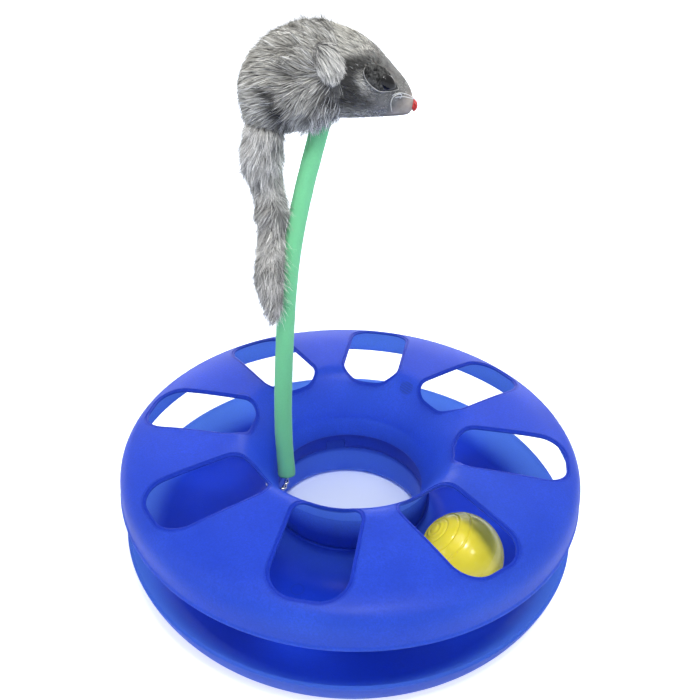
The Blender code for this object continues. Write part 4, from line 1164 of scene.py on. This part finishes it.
def on_side(form, place, side):
    """Where a line across the mouse meets the side of this form, and the way that the surface faces there."""
    tree = BVHTree.FromObject(form, bpy.context.evaluated_depsgraph_get())
    start = mouse_frame @ Vector((place[0] * MM, side * 60 * MM, place[1] * MM))
    hit, facing, _, _ = tree.ray_cast(start, mouse_frame.to_3x3() @ Vector((0, -side, 0)))
    return hit, facing


def lying_on(form, place, side, tilt):
    """The matrix of a flat piece on the side of the form, its long axis tilted from the nose's way."""
    hit, facing = on_side(form, place, side)
    forward = mouse_frame.to_3x3() @ Vector((1, 0, 0))
    forward = (forward - facing * forward.dot(facing)).normalized()
    turn = Matrix((forward, facing.cross(forward), facing)).transposed().to_4x4()
    return Matrix.Translation(hit) @ turn @ Matrix.Rotation(math.radians(-side * tilt), 4, "Z")


def leaf(name, size, matrix, point=0.0, segments=40, rings=24):
    """An ellipsoid, narrowed towards its front end by the share given, and placed by the matrix."""
    round_it = full_turn(segments)
    from_top = np.linspace(0, math.pi, rings + 1)[:, None]
    across, tall = np.sin(from_top), np.cos(from_top) + 0 * round_it
    net = np.stack([across * np.cos(round_it), across * np.sin(round_it), tall], axis=-1)
    net[..., 1] *= 1.0 - point * np.clip(net[..., 0], 0, None) ** 1.5
    net = net * np.array(size) * MM @ np.array(matrix.to_3x3()).T + np.array(matrix.translation)
    return solid_of_nets(name, [(net, True)])


pale_fur = fur_material(
    "pale_ear_fur", (0.24, 0.235, 0.225), (0.62, 0.61, 0.58), (0.95, 0.94, 0.91), (0.08, 0.08, 0.08)
)
for k, (word, side) in enumerate((("right", -1), ("left", 1))):
    matrix = lying_on(body_form, EAR_PLACE, side, EAR_TILT)
    ear = leaf(f"ear_{word}_form", EAR_SIZE, matrix, 0.35)
    roots, facing = roots_on(ear, 3000, 31 + k)
    turn = np.array(matrix.to_3x3())
    seen = facing @ turn[:, 2] > -0.25
    roots, facing = roots[seen], facing[seen]
    local = in_mouse(roots)
    out_along_ear = (roots - np.array(matrix.translation)) @ turn[:, 0]
    toward_tip = np.clip(out_along_ear / (EAR_SIZE[0] * MM), 0, 1)[:, None]
    comb = turn[:, 0] + 0.35 * wander(local, 0.2, 2.0 + k) - 1.1 * toward_tip ** 2 * mouse_turn[:, 0]
    ear_length = (6.6 - 4.4 * toward_tip[:, 0]) * MM
    ear_fur = fur_locks(
        f"ear_{word}_fur", roots, facing, comb, ear_length, 11.0, 0.27 * MM, 33 + k, clump=0.45
    )
    shade_attribute(ear_fur, np.clip(1.3 * wander(local, 0.22, 4.0)[:, 0], 0, 0.5))
    ear.data.materials.append(under_fur)
    ear_fur.data.materials.append(pale_fur)
    for piece in (ear, ear_fur):
        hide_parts("ear_" + word)
        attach(piece, "wand")

# Eyes

# Each is a flat drop of dark resin, its grey clouds partly a painted reflection, with a pale cord of glue along its
# lower edge, its paleness partly a painted highlight, and a glossy black bead set in its front end.
eye_drop, tree, shader = new_material("dark_resin")
# Grey clouds in the black resin: partly its own flecks, partly a painted reflection of the fur around the eye.
flecks_and_reflection = ramp_of(tree, noise_of(tree, 380.0, 5.0, 0.8), [(0.42, (0.006,) * 3), (0.70, (0.15, 0.15, 0.145))])
roughness = remapped(tree, noise_of(tree, 500.0), 0.25, 0.4)
set_inputs(tree, shader, {"Base Color": flecks_and_reflection, "Roughness": roughness, "Specular IOR Level": 0.1})
bumped(tree, shader, [(noise_of(tree, 700.0, 3.0), 0.12, 0.0005)])
black_bead, tree, shader = new_material("black_bead")
black = ramp_of(tree, noise_of(tree, 300.0), [(0.3, (0.003, 0.003, 0.004)), (0.8, (0.012, 0.012, 0.013))])
set_inputs(tree, shader, {"Base Color": black, "Roughness": 0.12, "Specular IOR Level": 0.25})
bumped(tree, shader, [(noise_of(tree, 900.0), 0.04, 0.0002)])
# The cord's pale colour is partly a painted highlight along the rim of the glue.
glue, tree, shader = new_material("pale_glue_line_and_highlight")
pale = ramp_of(tree, noise_of(tree, 800.0), [(0.3, (0.38, 0.37, 0.35)), (0.8, (0.68, 0.67, 0.64))])
set_inputs(tree, shader, {"Base Color": pale, "Roughness": 0.5})
EYE_TILT = -24.0
DROP_PLACE = (25.6, 20.6)
DROP_SIZE = (10.4, 5.3, 1.7)
DROP_POINT = 0.72
BEAD_PLACE = (28.4, 18.9)
BEAD_SIZE = (5.0, 3.4, 2.6)
BEAD_RAISED = 0.8 * MM
for word, side in (("right", -1), ("left", 1)):
    matrix = lying_on(head_form, DROP_PLACE, side, EYE_TILT)
    patch = leaf(f"eye_drop_{word}", DROP_SIZE, matrix, DROP_POINT)
    patch.data.materials.append(eye_drop)
    rim_points = []
    for a in np.radians(np.linspace(172, 386, 32)):
        x, y = math.cos(a), -side * math.sin(a)
        y *= 1.0 - DROP_POINT * max(0.0, x) ** 1.5
        rim_points.append(matrix @ (Vector(((DROP_SIZE[0] + 0.1) * x, (DROP_SIZE[1] + 0.1) * y, 0.35)) * MM))
    rim_line = curve_through(rim_points, 0.6 * MM)
    swell = np.sin(np.linspace(0.15, 3.0, len(rim_line)))
    rim_cord = round_bar(f"eye_rim_{word}", rim_line, 0.15 * MM * swell + 0.06 * MM, 8)
    rim_cord.data.materials.append(glue)
    bead_seat = lying_on(head_form, BEAD_PLACE, side, EYE_TILT - 8) @ Matrix.Translation((0, 0, BEAD_RAISED))
    bead = leaf(f"eye_bead_{word}_dressed", BEAD_SIZE, bead_seat, 0.5)
    bead.data.materials.append(black_bead)
    for piece, replaced, slot in (
        (patch, "eye_patch_" + word, "eye_drop"),
        (rim_cord, "eye_patch_" + word, "eye_drop"),
        (bead, "eye_bead_" + word, "eye_bead_black"),
    ):
        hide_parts(replaced)
        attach(piece, "wand")

# Nose

# Red cotton thread, sewn over the end of the snout in side-by-side stitches.
NOSE_CORE = (2.0, 3.6, 2.2)
STITCHED = (2.3, 3.9, 2.5)
STITCHES = 9
THREAD_RADIUS = 0.42 * MM
nose_place = Vector((43.7, 0.0, 6.2))
red_thread, tree, shader = new_material("red_thread")
twist = {"Vector": own_place(tree), "Scale": 900.0, "Distortion": 1.5}
plies = node(tree, "ShaderNodeTexWave", twist, bands_direction="Z").outputs["Fac"]
reds = ramp_of(tree, plies, [(0.1, (0.42, 0.012, 0.012)), (0.9, (0.80, 0.045, 0.035))])
set_inputs(tree, shader, {"Base Color": reds, "Roughness": 0.55, "Sheen Weight": 0.3})
bumped(tree, shader, [(plies, 0.3, 0.0002)])
core = leaf("nose_core", NOSE_CORE, mouse_frame @ Matrix.Translation(nose_place * MM), 0.0, 24, 16)
core.data.materials.append(red_thread)
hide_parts("nose")
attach(core, "wand")
for k in range(STITCHES):
    aside = (k - STITCHES // 2) / 4.6
    stitch = []
    for a in np.radians(np.linspace(-78, 78, 15)):
        reach = math.sqrt(1 - aside * aside)
        across, up = math.cos(a) * reach, math.sin(a) * (0.35 + 0.65 * reach)
        place = Vector((STITCHED[0] * across, STITCHED[1] * aside, STITCHED[2] * up))
        stitch.append(mouse_frame @ ((nose_place + place) * MM))
    thread = round_bar(f"nose_stitch_{k + 1}", stitch, THREAD_RADIUS, 8)
    thread.data.materials.append(red_thread)
    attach(thread, "wand")

# Whiskers

# Fine white nylon bristles, pushed into the muzzle behind the nose, three on each side.
nylon, tree, shader = new_material("white_nylon")
white = ramp_of(tree, noise_of(tree, 500.0), [(0.3, (0.74, 0.74, 0.72)), (0.8, (0.90, 0.90, 0.89))])
set_inputs(tree, shader, {"Base Color": white, "Roughness": 0.3})
# Where each leaves the muzzle (along, up), then its points (along, out from the middle, up), in millimetres.
LOOP_BACK = ((36.2, 9.4, 13.0), (34.4, 10.6, 13.6), (32.0, 11.3, 12.7))
LOOP_DOWN = ((30.9, 11.5, 10.5), (31.0, 11.6, 8.0), (31.6, 11.6, 5.8))
WHISKERS = (
    ((31.0, 12.6), ((35.0, 10.6, 14.2), (40.0, 9.4, 12.8), (44.0, 8.6, 9.8), (47.2, 8.2, 7.0))),
    ((32.5, 11.6), ((37.0, 9.2, 12.2), (42.0, 7.4, 10.9), (48.4, 6.6, 9.2))),
    ((36.0, 10.6), LOOP_BACK + LOOP_DOWN),
)
for word, side in (("right", -1), ("left", 1)):
    for i, (root, rest) in enumerate(WHISKERS):
        hit, facing = on_side(head_form, root, side)
        outside = [mouse_frame @ (Vector((x, side * y, z)) * MM) for x, y, z in rest]
        points = [hit - facing * 0.5 * MM] + outside
        line = curve_through(points, 0.8 * MM)
        taper = np.linspace(0.22 * MM, 0.09 * MM, len(line))
        whisker = round_bar(f"whisker_{word}_{i + 1}_dressed", line, taper, 8)
        whisker.data.materials.append(nylon)
        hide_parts(f"whisker_{word}_{i + 1}")
        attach(whisker, "wand")

# Tail

# A strip of the same fur, rolled and hanging free from the rump. It swings and bends as three lengths, each
# with its own coat, and the fur of each covers the joint below it. Stations are (x, y, z, radius), in
# millimetres.
TAIL_LENGTHS = {
    "tail_root": (
        (-46.6, 41.0, 209.0, 8.2),
        (-48.2, 41.0, 200.0, 9.2),
        (-48.3, 41.0, 192.0, 8.8),
        (-45.9, 40.2, 182.0, 6.9),
        (-45.2, 39.8, 179.4, 6.5),
    ),
    "tail_middle": (
        (-45.0, 39.6, 178.6, 6.0),
        (-44.0, 37.6, 171.0, 7.4),
        (-43.6, 34.6, 163.4, 5.9),
        (-43.9, 31.0, 155.6, 5.9),
        (-43.9, 29.3, 152.3, 5.9),
    ),
    "tail_tip": (
        (-43.9, 28.6, 151.0, 5.6),
        (-44.4, 24.4, 143.5, 6.4),
        (-43.6, 20.4, 135.0, 5.7),
        (-42.2, 17.4, 128.0, 4.2),
        (-41.0, 15.6, 122.2, 1.6),
    ),
}
# Heights of the dark bands, and how dark each is.
TAIL_BANDS = ((206, 0.3), (191, 0.25), (176, 0.45), (166, 0.75), (147, 0.5), (134, 0.4))
tail_coat = fur_material(
    "pale_tail_fur", (0.30, 0.295, 0.28), (0.66, 0.65, 0.62), (0.95, 0.94, 0.92), (0.09, 0.09, 0.09)
)
for k, (length_name, stations) in enumerate(TAIL_LENGTHS.items()):
    places = [Vector(station[:3]) * MM for station in stations]
    line = curve_through(places, 1.6 * MM)
    run = np.concatenate([[0.0], np.cumsum([(b - a).length for a, b in zip(line, line[1:])])])
    marks = np.concatenate([[0.0], np.cumsum([(b - a).length for a, b in zip(places, places[1:])])])
    radii = np.interp(run, marks * run[-1] / marks[-1], [station[3] * MM for station in stations])
    up = (line[0] - line[1]).normalized()
    round_end = np.radians((84, 66, 48, 30, 14))
    cap = [(line[0] + up * radii[0] * math.sin(a), radii[0] * math.cos(a)) for a in round_end]
    core = round_bar(length_name + "_form", [p for p, _ in cap] + line, [r for _, r in cap] + list(radii), 28)
    core.data.materials.append(under_fur)
    roots, facing = roots_on(core, (13000, 10000, 9000)[k], 51 + k)
    if k == 0:
        keep = outside_of(roots, [body_form], 1.5 * MM)
        roots, facing = roots[keep], facing[keep]
    downward = np.array([tuple(p) for p in line])
    nearest = np.argmin(np.linalg.norm(roots[:, None] - downward[None], axis=2), axis=1)
    way = unit(np.gradient(downward, axis=0))[nearest]
    millimetres = roots / MM
    comb = way + 0.75 * wander(millimetres, 0.07, 6.0 + k) + 0.8 * wander(millimetres, 0.25, 8.0 + k)
    comb[:, 0] -= 0.25
    tail_fur = fur_locks(
        length_name + "_fur",
        roots,
        facing,
        comb,
        (7.4, 6.8, 6.2)[k] * MM,
        22.0,
        0.24 * MM,
        61 + k,
        clump=0.3,
        droop=0.15,
        curl=0.4,
    )
    chosen = np.random.default_rng(71 + k).random(len(roots)) < 0.10
    lift = (38.0, 42.0, 52.0)[k]
    tail_guard = guard_hairs(
        length_name + "_guard_hairs", roots[chosen], facing[chosen], comb[chosen], 8.6 * MM, lift, 81 + k, droop=0.2
    )
    bands = 0.35 * np.clip(wander(millimetres, 0.14, 14.0)[:, 0], 0, 1)
    uneven = 1 + 1.4 * wander(millimetres, 0.12, 17.0)[:, 1]
    for height, strength in TAIL_BANDS:
        bands += strength * uneven * np.exp(-(((millimetres[:, 2] - height) / 4.0) ** 2))
    shade_attribute(tail_fur, np.clip(bands, 0, 0.8))
    tail_fur.data.materials.append(tail_coat)
    for piece in (core, tail_fur, tail_guard):
        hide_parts(length_name)
        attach(piece, length_name)

# Studio

# A pale floor with a painted blue tint and a painted glow, soft white light from above and both sides, and the
# photograph's camera.
floor_mesh = bpy.data.meshes.new("floor")
floor_mesh.from_pydata([(-6, -6, 0), (6, -6, 0), (6, 6, 0), (-6, 6, 0)], [], [(0, 1, 2, 3)])
floor = in_scene("floor", floor_mesh)
floor.location.z = -0.2 * MM
paper, tree, shader = new_material("paper_floor_painted_light")
# Painted light: the blue tint of the floor stands for the blue light that the plastic passes onto it.
look = {"Base Color": (0.72, 0.80, 0.95, 1), "Roughness": 0.9, "Specular IOR Level": 0.1}
set_inputs(tree, shader, {**look, "Emission Color": (1, 1, 1, 1)})


def seen_directly(tree):
    """1 for the rays that look at a thing directly, in a mirror or through glass, and 0 for the rest."""
    rays = node(tree, "ShaderNodeLightPath").outputs
    through = {0: rays["Is Transmission Ray"], 1: rays["Is Diffuse Ray"]}
    clear = node(tree, "ShaderNodeMath", through, operation="SUBTRACT", use_clamp=True).outputs["Value"]
    mirrored = node(tree, "ShaderNodeMath", {0: rays["Is Glossy Ray"], 1: clear}).outputs["Value"]
    return node(tree, "ShaderNodeMath", {0: rays["Is Camera Ray"], 1: mirrored}, use_clamp=True).outputs["Value"]


# Painted light: for rays that see it directly, the floor glows, not at all in the ring's hole and more and more away
# from the ring, which whitens the floor where the lamps fall off and thins the shadow near the toy.
away = node(tree, "ShaderNodeVectorMath", {0: own_place(tree)}, operation="LENGTH").outputs["Value"]
painted_floor_glow = ramp_of(tree, away, [(0.05, (0,) * 3), (0.11, (0.6,) * 3), (0.25, (0.85,) * 3), (0.9, (1,) * 3)])
glow = node(tree, "ShaderNodeMath", {0: painted_floor_glow, 1: seen_directly(tree)}, operation="MULTIPLY").outputs["Value"]
tree.links.new(glow, shader.inputs["Emission Strength"])
floor_mesh.materials.append(paper)


def area_light(name, place, target, size, power):
    data = bpy.data.lights.new(name, "AREA")
    data.shape = "RECTANGLE"
    data.size, data.size_y = size
    data.energy = power
    obj = in_scene(name, data)
    obj.location = place
    obj.rotation_euler = (Vector(target) - Vector(place)).to_track_quat("-Z", "Y").to_euler()


area_light("overhead", (0.0, -0.05, 1.3), (0, 0, 0.05), (1.0, 0.5), 3.8)
area_light("key", (0.10, -0.43, 1.15), (0.02, -0.02, 0.05), (0.2, 0.2), 6.6)
area_light("front_right", (0.51, -0.69, 0.93), (0, 0, 0.08), (0.2, 0.2), 1.8)
area_light("left", (-1.1, -0.4, 0.9), (0, 0, 0.15), (0.7, 0.7), 3.0)
area_light("behind", (0.0, 1.5, 0.45), (0, 0, 0.06), (2.0, 0.6), 14.0)

world = bpy.data.worlds.new("studio")
bpy.context.scene.world = world
world.use_nodes = True
tree = world.node_tree
background = tree.nodes["Background"]
way = node(tree, "ShaderNodeSeparateXYZ", {"Vector": node(tree, "ShaderNodeTexCoord").outputs["Generated"]})
horizon = node(
    tree,
    "ShaderNodeMapRange",
    {"Value": way.outputs["Y"], "From Min": -0.6, "From Max": 0.8, "To Min": 0.35, "To Max": 2.6},
)
dimmed = node(
    tree,
    "ShaderNodeMapRange",
    {
        "Value": way.outputs["Z"],
        "From Min": 0.05,
        "From Max": 0.6,
        "To Min": horizon.outputs["Result"],
        "To Max": 0.32,
    },
)
strength = node(tree, "ShaderNodeMapRange", {"Value": seen_directly(tree), "To Min": dimmed.outputs["Result"]})
tree.links.new(strength.outputs["Result"], background.inputs["Strength"])
background.inputs["Color"].default_value = (1, 1, 1, 1)

# The camera was fitted to the ring's ellipses in the photograph.
FOCAL_PIXELS = 748.313363646497
PHOTO_SIDE = 700.0
CAMERA_PLACE = (0.0, -0.31739220474, 0.30500435287)
camera_data = bpy.data.cameras.new("camera")
camera_data.sensor_width = 36.0
camera_data.lens = FOCAL_PIXELS * camera_data.sensor_width / PHOTO_SIDE
camera = in_scene("camera", camera_data)
right = Vector((0.99933969, 0.02386567, 0.02739746))
up = Vector((-0.03578581, 0.51594955, 0.85587116))
forward = Vector((-0.00629023, 0.85628645, -0.51646292))
turn = Matrix((right, up, -forward)).transposed().to_4x4()
camera.matrix_world = Matrix.Translation(CAMERA_PLACE) @ turn
bpy.context.scene.camera = camera

bpy.context.scene.view_settings.view_transform = "Standard"
